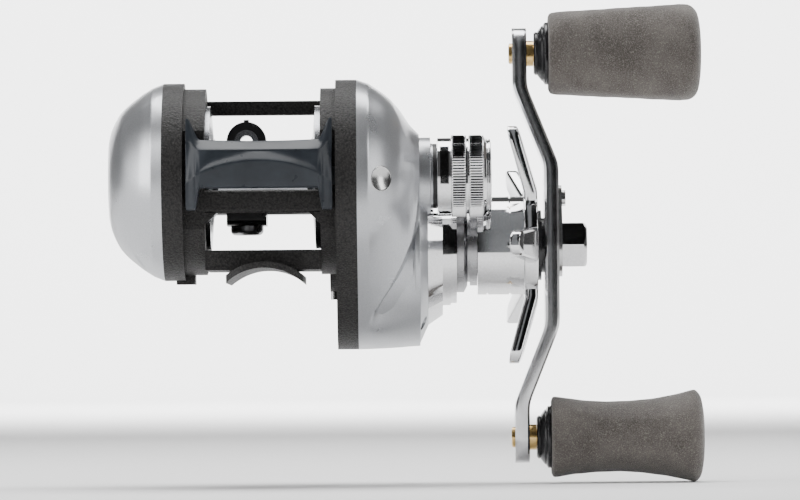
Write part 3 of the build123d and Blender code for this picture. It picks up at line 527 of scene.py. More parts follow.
# ---------------------------------------------------------------- shape tools
def rounded(corners, radius: float, steps: int = 4) -> Array:
    """Round every inner corner of an open profile.

    Each corner becomes a quadratic arc between the two points that lie one radius from it.

    Args:
        corners: The profile's points, two numbers each.
        radius: Reach of the rounding, in mm.
        steps: Points in each arc.

    Returns:
        The denser profile.
    """
    points = np.asarray(corners, float)
    middle = points[1:-1]

    def towards(others: Array) -> Array:
        """Points on the way to the neighbours."""
        way = others - middle
        length = np.linalg.norm(way, axis=1, keepdims=True)
        return middle + way / length * np.minimum(radius, 0.45 * length)

    start, end = towards(points[:-2]), towards(points[2:])
    t = np.linspace(0.0, 1.0, steps + 1)[None, :, None]
    arcs = (1 - t) ** 2 * start[:, None] + 2 * (1 - t) * t * middle[:, None] + t**2 * end[:, None]
    return np.concatenate([points[:1], arcs.reshape(-1, 2), points[-1:]])


def through(points, count: int) -> Array:
    """Give a smooth curve through points, as a centripetal-like Catmull-Rom spline.

    Args:
        points: Points of any dimension.
        count: Points returned.

    Returns:
        The curve's points.
    """
    knots = np.asarray(points, float)
    padded = np.concatenate([[2 * knots[0] - knots[1]], knots, [2 * knots[-1] - knots[-2]]])
    place = np.linspace(0, len(knots) - 1, count)
    index = np.minimum(place.astype(int), len(knots) - 2)
    t = (place - index)[:, None]
    p0, p1, p2, p3 = (padded[index + k] for k in range(4))
    return 0.5 * (2 * p1 + (p2 - p0) * t + (2 * p0 - 5 * p1 + 4 * p2 - p3) * t**2
                  + (3 * p1 - p0 - 3 * p2 + p3) * t**3)


def smooth(value, low: float, high: float) -> Array:
    """Give an eased 0 to 1 step between two values.

    Args:
        value: Where it is read.
        low: Where the step starts.
        high: Where it ends.

    Returns:
        The step.
    """
    t = np.clip((np.asarray(value, float) - low) / (high - low), 0.0, 1.0)
    return t * t * (3 - 2 * t)


def soft_min(first: Array, second: Array, reach: float) -> Array:
    """Give the smaller of two lengths with a soft change-over.

    Args:
        first: First length.
        second: Second length.
        reach: Size of the change-over.

    Returns:
        The blended length.
    """
    low = np.minimum(first, second)
    return low - reach * np.log(np.exp((low - first) / reach) + np.exp((low - second) / reach))


def lathe(profile: Array, axis: tuple[float, float], columns: int = 160, relief=None) -> Array:
    """Turn an (x, radius) profile about a line along X.

    Args:
        profile: The profile's points, in mm.
        axis: The line's (y, z), in mm.
        columns: Points round the line.
        relief: Function of (x, angle) that gives a change of radius, or None.

    Returns:
        A grid of points, one row for each profile point.
    """
    angle = np.linspace(0, 2 * pi, columns, endpoint=False)[None, :]
    x = profile[:, :1] + 0 * angle
    radius = profile[:, 1:] + 0 * angle
    if relief is not None:
        radius = radius + relief(x, angle)
    return np.stack([x, axis[0] + radius * np.cos(angle), axis[1] + radius * np.sin(angle)], -1)


def hull_rings(circles: Array, angles: Array) -> Array:
    """Find the outline round circles, station by station.

    The outline is the edge of the smallest convex shape that holds every circle: along a ray from
    the circles' mean centre it is the nearest of the shape's supporting lines.

    Args:
        circles: Stations by circles by (y, z, radius), in mm.
        angles: Ray directions.

    Returns:
        Stations by rays by (y, z).
    """
    headings = np.linspace(0, 2 * pi, 1440, endpoint=False)
    normals = np.stack([np.cos(headings), np.sin(headings)], -1)
    rays = np.stack([np.cos(angles), np.sin(angles)], -1)
    facing = normals @ rays.T
    facing = np.where(facing > 0.05, facing, 1e-9)
    centres = circles[..., :2].mean(1)
    support = (circles[..., :2] @ normals.T + circles[..., 2:]).max(1) - centres @ normals.T
    reach = np.stack([(room[:, None] / facing).min(0) for room in support])
    return centres[:, None] + reach[..., None] * rays


class Skin:
    """Point grids collected into one mesh with outward faces."""

    def __init__(self) -> None:
        """Start with nothing."""
        self.points: list[Array] = []
        self.faces: list[list[int]] = []
        self.count = 0

    def grid(self, points: Array, closed: bool = False, start_cap: bool = True, end_cap: bool = True) -> None:
        """Add a tube-like grid: rows along it, columns round it.

        Args:
            points: Rows by columns by three coordinates, in mm.
            closed: Whether the last row meets the first.
            start_cap: Whether a fan closes the first row.
            end_cap: Whether a fan closes the last row.
        """
        rows, columns = points.shape[:2]
        index = self.count + np.arange(rows * columns).reshape(rows, columns)
        side = np.concatenate([index, index[:, :1]], 1)
        if closed:
            side = np.concatenate([side, side[:1]], 0)
        quads = np.stack([side[:-1, :-1], side[1:, :-1], side[1:, 1:], side[:-1, 1:]], -1)
        self.faces += quads.reshape(-1, 4).tolist()
        self.points.append(points.reshape(-1, 3))
        self.count += rows * columns
        for wanted, row in ((start_cap, 0), (end_cap, -1)):
            if wanted and not closed:
                ring = index[row]
                self.points.append(points[row].mean(0, keepdims=True))
                middle = np.full(columns, self.count)
                self.faces += np.stack([ring, np.roll(ring, -1), middle], -1).tolist()
                self.count += 1

    def build(self, name: str, sharp: float = 34.0) -> bpy.types.Object:
        """Make the object.

        Args:
            name: Its name.
            sharp: Angle in degrees over which an edge stays crisp.

        Returns:
            The object, in the scene.
        """
        mesh = bpy.data.meshes.new(name)
        mesh.from_pydata((np.concatenate(self.points) * MM).tolist(), [], self.faces)
        tidy_mesh(mesh, sharp)
        obj = bpy.data.objects.new(name, mesh)
        bpy.context.scene.collection.objects.link(obj)
        return obj


def tidy_mesh(mesh: bpy.types.Mesh, sharp: float) -> None:
    """Merge doubled points, face every side outward and shade smooth up to an angle.

    Args:
        mesh: The mesh.
        sharp: The angle in degrees.
    """
    work = bmesh.new()
    work.from_mesh(mesh)
    bmesh.ops.remove_doubles(work, verts=work.verts, dist=1e-7)
    bmesh.ops.recalc_face_normals(work, faces=work.faces)
    work.to_mesh(mesh)
    work.free()
    mesh.polygons.foreach_set("use_smooth", np.ones(len(mesh.polygons), bool))
    mesh.set_sharp_from_angle(angle=radians(sharp))


class Cut(Enum):
    """How two closed meshes are combined."""

    AWAY = "DIFFERENCE"
    JOIN = "UNION"


def combine(obj: bpy.types.Object, other: bpy.types.Object, cut: Cut, sharp: float = 34.0) -> None:
    """Combine another object into this one and remove the other.

    Args:
        obj: The object that changes.
        other: The object that is used up.
        cut: Whether it is cut away or joined.
        sharp: Angle in degrees over which an edge stays crisp.
    """
    step = obj.modifiers.new("combine", "BOOLEAN")
    step.object, step.operation, step.solver = other, cut.value, "EXACT"
    graph = bpy.context.evaluated_depsgraph_get()
    mesh = bpy.data.meshes.new_from_object(obj.evaluated_get(graph))
    obj.modifiers.clear()
    obj.data = mesh
    bpy.data.objects.remove(other)
    tidy_mesh(mesh, sharp)


def place(obj: bpy.types.Object, body: str, slot: str, finishes: Finishes, *nodes: str) -> None:
    """Dress a new piece and tie it to the frame.

    Args:
        obj: The piece.
        body: The body it rides on.
        slot: The slot of its finish.
        finishes: The object's finishes.
        *nodes: The CAD nodes it stands for.
    """
    finishes.dress(obj, slot)
    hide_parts(*nodes)
    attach(obj, body)
    LOG.info("%s: %d faces on %s", obj.name, len(obj.data.polygons), body)


def axis_of(node: str) -> tuple[float, float]:
    """Give the (y, z) middle of a round CAD node, in mm.

    Args:
        node: The node's name.

    Returns:
        The two coordinates.
    """
    low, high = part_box(node)
    return (low[1] + high[1]) / 2 / MM, (low[2] + high[2]) / 2 / MM


def span_of(node: str) -> tuple[float, float]:
    """Give a CAD node's reach along X, in mm.

    Args:
        node: The node's name.

    Returns:
        Its low and high x.
    """
    low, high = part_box(node)
    return low[0] / MM, high[0] / MM


# ---------------------------------------------------------------- covers
@dataclass
class Cover:
    """A hollow lofted cover whose outline shrinks from its seam to its summit."""

    seam: tuple[tuple[float, float, float], ...]
    summit: tuple[tuple[float, float, float], ...]
    seam_x: float
    summit_x: float
    course: tuple[tuple[float, float], ...]
    rim: float = 0.2
    wall: float = 1.6
    columns: int = 300

    def rings(self, inset: float, summit_x: float, rows: int) -> Array:
        """Give the cover's rings from seam to summit.

        The share of the way to the summit's outline follows a smooth course, after a straight rim.

        Args:
            inset: How much smaller every circle is, in mm.
            summit_x: Where the last ring lies.
            rows: How many rings there are.

        Returns:
            Rings by points by three coordinates.
        """
        rim = np.linspace((0.0, 0.0), self.course[0], 8)
        course = np.concatenate([rim[:-1], through(self.course, rows - 7)])
        low, high = np.array(self.seam), np.array(self.summit)
        circles = low + (high - low) * course[:, 1, None, None]
        circles[..., 2] -= inset
        angles = np.linspace(0, 2 * pi, self.columns, endpoint=False)
        outline = hull_rings(circles, angles)
        x = self.seam_x + (summit_x - self.seam_x) * course[:, 0]
        return np.concatenate([np.broadcast_to(x[:, None, None], outline.shape[:2] + (1,)), outline], -1)

    def lid(self, ring: Array, rows: int = 10) -> Array:
        """Give rings that shrink from the last ring to its middle.

        Args:
            ring: The last ring.
            rows: How many there are.

        Returns:
            The rings, without the last one itself.
        """
        middle = ring.mean(0)
        share = np.linspace(1.0, 0.04, rows + 1)[1:, None, None]
        return middle + (ring - middle) * share

    def skin(self, relief=None, rows: int = 72) -> Skin:
        """Build the hollow cover.

        Args:
            relief: Function of the outer points that gives how far each moves inward, or None.
            rows: Rings on the outer side.

        Returns:
            The skin.
        """
        outer = self.rings(0.0, self.summit_x, rows)
        if relief is not None:
            middle = outer.mean(1, keepdims=True)
            inward = middle - outer
            inward /= np.linalg.norm(inward, axis=2, keepdims=True)
            outer = outer + inward * relief(outer)[..., None]
        side = 1 if self.seam_x < self.summit_x else -1
        inner = self.rings(self.wall, self.summit_x - side * self.wall, rows // 2)
        layers = [self.lid(inner[-1])[::-1], inner[::-1], outer, self.lid(outer[-1])]
        skin = Skin()
        skin.grid(np.concatenate(layers))
        return skin


def crease_distance(points: Array, course) -> Array:
    """Give the signed distance in x and z from points to a curve.

    Args:
        points: Points, three coordinates each, in mm.
        course: The curve's knots as (x, z), in mm.

    Returns:
        The distance, positive to the right of the curve's direction.
    """
    curve = through(course, 160)
    ahead = np.gradient(curve, axis=0)
    ahead /= np.linalg.norm(ahead, axis=1, keepdims=True)
    flat = points[..., ::2].reshape(-1, 2)
    away = flat[:, None] - curve[None]
    nearest = np.linalg.norm(away, axis=2).argmin(1)
    offset = away[np.arange(len(flat)), nearest]
    lead = ahead[nearest]
    side = np.sign(offset[:, 0] * lead[:, 1] - offset[:, 1] * lead[:, 0])
    return (side * np.linalg.norm(offset, axis=1)).reshape(points.shape[:-1])


@dataclass
class PalmCover:
    """The domed cover under the palm, with a raised border round its rear facet."""

    facet: tuple[tuple[float, float], ...] = (
        (-25.6, 38.4), (-30.2, 35.8), (-33.9, 31.5), (-35.2, 25.0), (-35.3, 15.5), (-33.8, 8.5), (-31.0, 4.5),
    )
    facet_depth: float = 0.55
    facet_reach: float = 3.2
    dial_room: float = 5.7
    dial_floor: float = -30.2

    def relief(self, points: Array) -> Array:
        """Sink the rear facet: a crisp step that fades out away from the border line.

        Args:
            points: The outer points, in mm.

        Returns:
            How far each moves inward.
        """
        distance = crease_distance(points, self.facet)
        rear = smooth(-points[..., 1], 6.0, 14.0)
        inside = np.maximum(-distance, 0.0)
        return rear * self.facet_depth * (1 - np.exp(-inside / self.facet_reach)) * smooth(inside, 0.0, 0.5)

    def build(self, finishes: Finishes) -> None:
        """Make the cover with its dial seat and bearing cup.

        Args:
            finishes: The object's finishes.
        """
        dial = axis_of("brake_dial")
        spool = axis_of("spool_shaft")
        summit_x = span_of("palm_cover")[0]
        cover = Cover(
            seam=((-5.0, 20.3, 22.9), (19.5, 13.5, 13.5)),
            summit=((spool[0], spool[1] - 0.6, 9.4), (6.0, 16.5, 4.5)),
            seam_x=-23.4,
            summit_x=summit_x,
            course=((0.20, 0.075), (0.42, 0.21), (0.70, 0.43), (0.84, 0.60), (0.95, 0.82), (1.0, 1.0)),
        )
        obj = cover.skin(self.relief).build("palm_cover_dome")
        seat = Skin()
        seat.grid(lathe(rounded([(-33.0, 1.6), (-33.0, 7.2), (-28.8, 7.2), (-28.8, 1.6)], 0.3), dial, 96), closed=True)
        combine(obj, seat.build("seat"), Cut.JOIN)
        room = Skin()
        room.grid(lathe(np.array([(-40.0, 0.01), (-40.0, self.dial_room), (self.dial_floor, self.dial_room),
                                  (self.dial_floor, 1.6), (-28.0, 1.6), (-28.0, 0.01)]), dial, 96))
        combine(obj, room.build("room"), Cut.AWAY)
        cup = Skin()
        cup.grid(lathe(rounded([(-34.0, 2.2), (-34.0, 6.4), (-20.4, 6.4), (-20.4, 5.0), (-24.4, 5.0), (-24.4, 2.2)],
                               0.2), spool, 96), closed=True)
        combine(obj, cup.build("cup"), Cut.JOIN)
        place(obj, "reel_body", "satin_silver", finishes, "palm_cover")


@dataclass
class HandleShell:
    """The sculpted handle-side shell: dome, crease and valley, drag seat, neck and oil port."""

    crease: tuple[tuple[float, float], ...] = (
        (36.6, 24.0), (35.6, 17.4), (34.4, 8.6), (31.9, 1.3), (28.2, -5.6), (22.6, -14.2), (20.0, -18.5),
    )
    valley_depth: float = 2.3
    valley_reach: float = 1.9
    shoulder: tuple[tuple[float, float], ...] = ((30.5, 36.0), (33.0, 29.0), (34.2, 22.0), (34.6, 17.0))
    port: tuple[float, float, float] = (27.0, -25.2, 20.2)
    port_tilt: float = 36.0
    port_radius: float = 3.0
    bolt_floors: tuple[float, float, float] = (31.0, 33.0, 33.0)
    bolts: tuple[tuple[float, float], ...] = ((12.0, 28.5), (20.65, -12.8), (-0.25, -12.8))

    def relief(self, points: Array) -> Array:
        """Sink a valley along the crease and a shallow hollow above it.

        The valley is deepest a short way to the seam side of the crease and meets it crisply.

        Args:
            points: The outer points, in mm.

        Returns:
            How far each moves inward.
        """
        rear = smooth(-points[..., 1], 2.0, 8.0)
        away = np.maximum(-crease_distance(points, self.crease), 0.0)
        share = away / self.valley_reach
        low = smooth(points[..., 0], 22.5, 27.0) * (1 - 0.5 * smooth(points[..., 2], 12.0, 20.0))
        valley = self.valley_depth * share * np.exp(1 - share) * low
        above = np.maximum(-crease_distance(points, self.shoulder), 0.0) / 2.2
        hollow = 0.35 * above * np.exp(1 - above) * smooth(points[..., 2], 14.0, 20.0)
        return rear * (valley + hollow)

    def port_piece(self, name: str, profile: Array) -> bpy.types.Object:
        """Turn a profile about the oil port's axis, which is square to the slanting rear wall.

        Args:
            name: The object's name.
            profile: Points of (height over the wall, radius), in mm.

        Returns:
            The object.
        """
        grid = lathe(profile, (0.0, 0.0), 64)
        tilt = radians(self.port_tilt)
        outward = np.array([sin(tilt), -cos(tilt), 0.0])
        level = np.array([cos(tilt), sin(tilt), 0.0])
        up = np.array([0.0, 0.0, 1.0])
        skin = Skin()
        skin.grid(np.array(self.port) + grid[..., :1] * outward + grid[..., 1:2] * level + grid[..., 2:] * up)
        return skin.build(name)

    def port_screw(self, finishes: Finishes) -> None:
        """Make the port's dished screw.

        Args:
            finishes: The object's finishes.
        """
        radius = np.linspace(0.05, self.port_radius - 0.25, 14)
        dish = np.stack([-0.75 + 0.55 * (radius / radius[-1]) ** 2, radius], -1)
        rim = [(-0.12, self.port_radius - 0.18), (-0.16, self.port_radius - 0.06), (-0.95, self.port_radius - 0.06)]
        profile = np.concatenate([dish, rim, [(-0.95, 1.2), (-4.0, 1.2), (-4.0, 0.05)]])
        place(self.port_piece("port_screw_dish", profile[::-1]), "reel_body", "steel", finishes, "port_screw")

    def build(self, finishes: Finishes) -> None:
        """Make the shell.

        Args:
            finishes: The object's finishes.
        """
        drive, spool = axis_of("inner_tube"), axis_of("cast_control_cap")
        cover = Cover(
            seam=((10.2, 5.3, 24.1), (19.5, 13.5, 13.5), (-5.0, 20.3, 23.5)),
            summit=((10.2, 5.3, 23.4), (16.2, 13.0, 15.0), (spool[0], spool[1], 9.8)),
            seam_x=21.3,
            summit_x=35.7,
            course=((0.19, 0.07), (0.47, 0.29), (0.67, 0.52), (0.85, 0.82), (1.0, 1.0)),
        )
        obj = cover.skin(self.relief, 84).build("handle_shell_dome")
        seat = Skin()
        seat.grid(lathe(rounded([(34.6, 6.2), (34.6, 22.6), (35.75, 22.6), (37.6, 18.6), (37.6, 6.2)], 0.18), drive,
                        240), closed=True)
        combine(obj, seat.build("seat"), Cut.JOIN)
        neck = Skin()
        neck.grid(lathe(rounded([(34.7, 4.0), (34.7, 9.0), (38.3, 9.0), (38.3, 7.6), (38.9, 7.6), (38.9, 6.5),
                                 (47.0, 6.5), (47.0, 5.0), (43.0, 5.0), (43.0, 4.0)], 0.15), spool, 160), closed=True)
        combine(obj, neck.build("neck"), Cut.JOIN)
        holes = Skin()
        for (y, z), floor in zip(self.bolts, self.bolt_floors):
            holes.grid(lathe(np.array([(floor, 0.01), (floor, 1.6), (60.0, 1.6), (60.0, 0.01)]), (y, z), 48))
        holes.grid(lathe(np.array([(30.0, 0.01), (30.0, 6.2), (60.0, 6.2), (60.0, 0.01)]), drive, 96))
        holes.grid(lathe(np.array([(30.0, 0.01), (30.0, 4.0), (40.0, 4.0), (40.0, 2.4), (60.0, 2.4), (60.0, 0.01)]), spool, 96))
        combine(obj, holes.build("holes"), Cut.AWAY)
        hole = np.array([(-1.0, 0.01), (-1.0, self.port_radius), (0.0, self.port_radius), (5.0, self.port_radius + 0.1),
                         (5.0, 0.01)])
        combine(obj, self.port_piece("port_hole", hole), Cut.AWAY)
        self.port_screw(finishes)
        place(obj, "reel_body", "satin_silver", finishes, "handle_side_shell")


# ---------------------------------------------------------------- thumb bar
@dataclass
class ThumbBar:
    """The clutch bar under the thumb: horns, hollow upper face, arched lower facet and side arms."""

    rear: float = -31.0
    front: float = -23.7
    top: float = 29.6
    low: float = 18.2
    horn_top: float = 34.4
    arm_low: float = 13.2
    horn_width: float = 3.6
    arm_width: float = 2.7
    arch: float = 24.4

    def profile(self, x: Array, left: float, right: float) -> Array:
        """Give the bar's cross-section corners at each station.

        The corners run up the front, over the top edge, down the bevel into the hollow, out to the
        arched ridge and down the lower facet.

        Args:
            x: The stations, in mm.
            left: The bar's left end.
            right: Its right end.

        Returns:
            Stations by corners by (y, z).
        """
        edge = np.minimum(x - left, right - x)
        middle = (x - (left + right) / 2) / ((right - left) / 2)
        horn = (self.horn_top - self.top) * (1 - smooth(edge, 0.3, self.horn_width)) ** 1.3
        top = self.top - 0.5 * (1 - middle**2) + horn
        arm = 1 - smooth(edge, self.arm_width - 0.5, self.arm_width + 0.7)
        low = self.low - (self.low - self.arm_low) * arm
        arch = self.low + 0.9 + (self.arch - self.low - 0.9) * np.clip(1 - middle**2, 0, 1) ** 0.75
        deep = smooth(edge, 1.0, 6.0)
        back = self.rear + 1.2 * (1 - smooth(edge, 0.0, 2.5)) + 2.6 * arm * 0.4
        crown = self.front - 1.3 + 0 * x
        bevel_y = self.rear + 2.0 + 0.9 * (1 - deep) + 1.6 * horn / (self.horn_top - self.top)
        bevel_z = self.top - 2.9 + 0.45 * horn
        pairs = [
            (self.front + 0 * x, low),
            (self.front + 0 * x, (low + top) / 2),
            (self.front + 0 * x, top - 0.9),
            (crown, top),
            (crown - 0.5, top),
            (bevel_y - 0.1, bevel_z + 0.35),
            (bevel_y, bevel_z),
            (back + 1.5 * deep, arch + 1.5 * deep + 0.3),
            (back + 0.1, arch + 0.25),
            (back, arch - 0.1),
            (back + 0.9, low + 0.9),
            (back + 1.5, low + 0.1),
            (back + 2.1, low),
        ]
        return np.stack([np.stack(pair, -1) for pair in pairs], 1)

    def build(self, finishes: Finishes) -> None:
        """Make the bar.

        Args:
            finishes: The object's finishes.
        """
        left = span_of("thumb_bar")[0]
        right = left + 33.5
        ends = smooth(np.linspace(0, 1, 260), 0.0, 1.0)
        x = left + (right - left) * (0.5 * ends + 0.5 * np.linspace(0, 1, 260))
        corners = self.profile(x, left, right)
        ring = corners
        for _ in range(3):
            ahead = np.roll(ring, -1, axis=1)
            ring = np.stack([0.8 * ring + 0.2 * ahead, 0.2 * ring + 0.8 * ahead], 2).reshape(len(x), -1, 2)
        inset = 0.35 * (1 - np.sqrt(np.clip(np.minimum(x - left, right - x) / 0.35, 0, 1) * (2 - np.clip(
            np.minimum(x - left, right - x) / 0.35, 0, 1))))
        middle = ring.mean(1, keepdims=True)
        away = ring - middle
        ring = ring - away / np.linalg.norm(away, axis=2, keepdims=True) * inset[:, None, None]
        grid = np.concatenate([np.broadcast_to(x[:, None, None], ring.shape[:2] + (1,)), ring], -1)
        skin = Skin()
        skin.grid(grid)
        tab_x = np.linspace(right - 1.0, span_of("thumb_bar")[1] - 0.01, 6)
        tab = rounded([(-24.8, 19.0), (-25.6, 19.0), (-25.6, 23.0), (-24.0, 23.0), (-24.0, 19.0), (-24.8, 19.0)], 0.2)
        skin.grid(np.concatenate([np.broadcast_to(tab_x[:, None, None], (6, len(tab), 1)),
                                  np.broadcast_to(tab, (6,) + tab.shape)], -1))
        obj = skin.build("thumb_bar_pad", 40.0)
        place(obj, "thumb", "slate_gloss", finishes, "thumb_bar")


# ---------------------------------------------------------------- cast control
@dataclass
class CastControl:
    """The chrome cap on the neck, with two knurled bands and a grooved end."""

    radius: float = 9.5
    neck: float = 8.9
    bore: float = 6.55
    ridges: int = 93
    ridge_depth: float = 0.22
    bands: tuple[tuple[float, float], ...] = ((43.3, 46.45), (47.35, 50.5))

    def relief(self, x: Array, angle: Array) -> Array:
        """Cut fine straight ridges into the two bands.

        Args:
            x: Places along the axis.
            angle: Places round it.

        Returns:
            The change of radius.
        """
        wave = 0.5 + 0.5 * np.cos(self.ridges * angle)
        inside = sum(smooth(x, start, start + 0.12) * (1 - smooth(x, end - 0.12, end)) for start, end in self.bands)
        return -self.ridge_depth * inside * wave**0.7

    def build(self, finishes: Finishes) -> None:
        """Make the cap.

        Args:
            finishes: The object's finishes.
        """
        start, end = span_of("cast_control_cap")
        axis = axis_of("cast_control_cap")
        r, groove = self.radius, self.radius - 0.7
        outline = rounded([
            (end - 1.6, 0.01), (end - 1.6, self.bore), (start, self.bore), (start, self.neck), (43.1, self.neck),
            (43.1, r), (46.6, r), (46.6, groove), (47.2, groove), (47.2, r), (50.6, r), (51.3, r - 0.85),
            (51.45, r - 0.85), (51.45, r - 1.15), (51.8, r - 1.15), (51.8, r - 0.9), (end - 0.2, r - 0.95),
            (end, r - 1.5), (end, 0.01)], 0.12, 3)
        steps = [np.linspace(a, b, max(2, int(np.linalg.norm(b - a) / 0.5) + 1))[:-1]
                 for a, b in zip(outline[:-1], outline[1:])]
        dense = np.concatenate(steps + [outline[-1:]])
        edges = np.array([p for band in self.bands for p in (band[0], band[0] + 0.06, band[0] + 0.12, band[1] - 0.12,
                                                             band[1] - 0.06, band[1])])
        extra = np.stack([edges, np.full(len(edges), r)], -1)
        top = (np.abs(dense[:, 1] - r) < 1e-6)
        low_band = dense[top & (dense[:, 0] < 47.0)]
        high_band = dense[top & (dense[:, 0] > 47.0)]
        low_all = np.concatenate([low_band, extra[:6]])
        high_all = np.concatenate([high_band, extra[6:]])
        low_all = low_all[np.argsort(low_all[:, 0])]
        high_all = high_all[np.argsort(high_all[:, 0])]
        first_low, last_low = np.flatnonzero(top & (dense[:, 0] < 47.0))[[0, -1]]
        first_high, last_high = np.flatnonzero(top & (dense[:, 0] > 47.0))[[0, -1]]
        rows = np.concatenate([dense[:first_low], low_all, dense[last_low + 1:first_high], high_all,
                               dense[last_high + 1:]])
        skin = Skin()
        skin.grid(lathe(rows, axis, self.ridges * 8, self.relief))
        obj = skin.build("cast_control_barrel", 30.0)
        place(obj, "cast_cap", "chrome", finishes, "cast_control_cap")


# ---------------------------------------------------------------- star drag
@dataclass
class StarWheel:
    """The five-armed star: a turned boss and polished arms that lean to the body."""

    reach: float = 29.0
    root: float = 5.0
    arms: int = 5
    lean: float = 4.3
    boss: float = 13.0
    root_half: float = 5.0
    tip_half: float = 3.0
    thick: float = 3.3
    tip_thick: float = 2.9

    def arm(self, angle: float, axis: tuple[float, float], base: float) -> Array:
        """Give one arm: a rounded-box section swept outward, closing in a round tip.

        The half-width falls straight from root to tip, and the last part closes as a circle does.

        Args:
            angle: The arm's direction.
            axis: The wheel's (y, z).
            base: Inner x of the boss.

        Returns:
            A grid of points.
        """
        start = self.root
        reach = start + (self.reach - start) * np.sin(np.linspace(0, pi / 2, 70))
        half = self.root_half + (self.tip_half - self.root_half) * (reach - start) / (self.reach - self.tip_half - start)
        past = np.clip((reach - (self.reach - self.tip_half)) / self.tip_half, 0.0, 0.9998)
        half = half * np.sqrt(1 - past**2)
        out = np.clip((reach - 14.0) / (self.reach + 1 - 14.0), 0, None)
        drop = self.lean * out
        thick = self.thick + (self.tip_thick - self.thick) * np.clip(out, 0, 1)
        tip_round = np.sqrt(np.clip(1 - past**2, 0, 1)) * 0.35 + 0.65
        turn = np.linspace(0, 2 * pi, 48, endpoint=False)
        flat = 0.36
        side = np.sign(np.cos(turn)) * np.abs(np.cos(turn)) ** flat
        face = np.sign(np.sin(turn)) * np.abs(np.sin(turn)) ** flat
        x = base + self.thick / 2 - drop[:, None] + 0.5 * (thick * tip_round)[:, None] * face[None]
        x = x - 0.2 * out[:, None]
        across = half[:, None] * side[None]
        radial = np.broadcast_to(reach[:, None], across.shape)
        y = axis[0] + radial * cos(angle) - across * sin(angle)
        z = axis[1] + radial * sin(angle) + across * cos(angle)
        return np.stack([x, y, z], -1)

    def build(self, finishes: Finishes) -> None:
        """Make the wheel.

        Args:
            finishes: The object's finishes.
        """
        axis = axis_of("star_hub")
        start, end = span_of("star_hub")[1], span_of("star_wheel")[1]
        skin = Skin()
        skin.grid(lathe(rounded([(start, 3.1), (start, self.boss), (end, self.boss), (end, 3.1)], 0.4), axis, 160),
                  closed=True)
        for index in range(self.arms):
            skin.grid(self.arm(pi + 2 * pi * index / self.arms, axis, start))
        obj = skin.build("star_drag_wheel", 40.0)
        place(obj, "star", "chrome", finishes, "star_wheel")


# ---------------------------------------------------------------- handle
@dataclass
class HandleArm:
    """The bent double handle arm with chamfered edges."""

    thick: float = 3.4
    chamfer: float = 0.55
    hub_half: float = 8.0
    end_half: float = 6.0
    crank: float = 45.0
    flat: float = 19.0
    bend: float = 37.0
    offset: float = 7.2

    def build(self, finishes: Finishes) -> None:
        """Make the arm.

        Along Z, the half-width is the outline round the hub circle and the two end circles, and the
        middle line runs flat, slants in and runs flat again, with eased bends.

        Args:
            finishes: The object's finishes.
        """
        y, z0 = axis_of("handle_nut")
        face = span_of("handle_arm")[1] - self.thick
        reach = self.crank + self.end_half
        run = np.sin(np.linspace(-pi / 2, pi / 2, 241)) * 0.35 + np.linspace(-1, 1, 241) * 0.65
        z = run * (reach - 0.01)
        far = np.abs(z)
        slope = (self.hub_half - self.end_half) / self.crank
        straight = self.hub_half - slope * far
        hub = np.sqrt(np.clip(self.hub_half**2 - far**2, 0, None))
        end = np.sqrt(np.clip(self.end_half**2 - np.clip(far - self.crank, 0, None) ** 2, 0, None))
        half = np.where(far < self.crank, np.maximum(straight, hub), end)
        ease = 2.0
        ramp = np.clip(far - self.flat, 0, self.bend - self.flat)
        soft = np.stack([np.clip(np.abs(z + shift) - self.flat, 0, self.bend - self.flat)
                         for shift in np.linspace(-ease, ease, 9)]).mean(0)
        ramp = 0.3 * ramp + 0.7 * soft
        inner = face - self.offset * ramp / (self.bend - self.flat)
        c = self.chamfer
        cut = np.minimum(c, half * 0.5)
        t = self.thick
        corners = [(c, -1, 0), (t - c, -1, 0), (t, -1, 1), (t, 1, 1), (t - c, 1, 0), (c, 1, 0), (0, 1, 1), (0, -1, 1)]
        section = np.stack([np.stack([inner + x, y + side * (half - cut * inset)], -1) for x, side, inset in corners], 1)
        doubled = np.stack([0.97 * section + 0.03 * np.roll(section, 1, 1), 0.97 * section + 0.03 * np.roll(section, -1, 1)], 2)
        ring = doubled.reshape(len(z), -1, 2)
        grid = np.concatenate([ring, np.broadcast_to((z0 + z)[:, None, None], ring.shape[:2] + (1,))], -1)
        skin = Skin()
        skin.grid(grid)
        obj = skin.build("handle_crank_arm", 24.0)
        place(obj, "crank", "handle_alloy", finishes, "handle_arm")


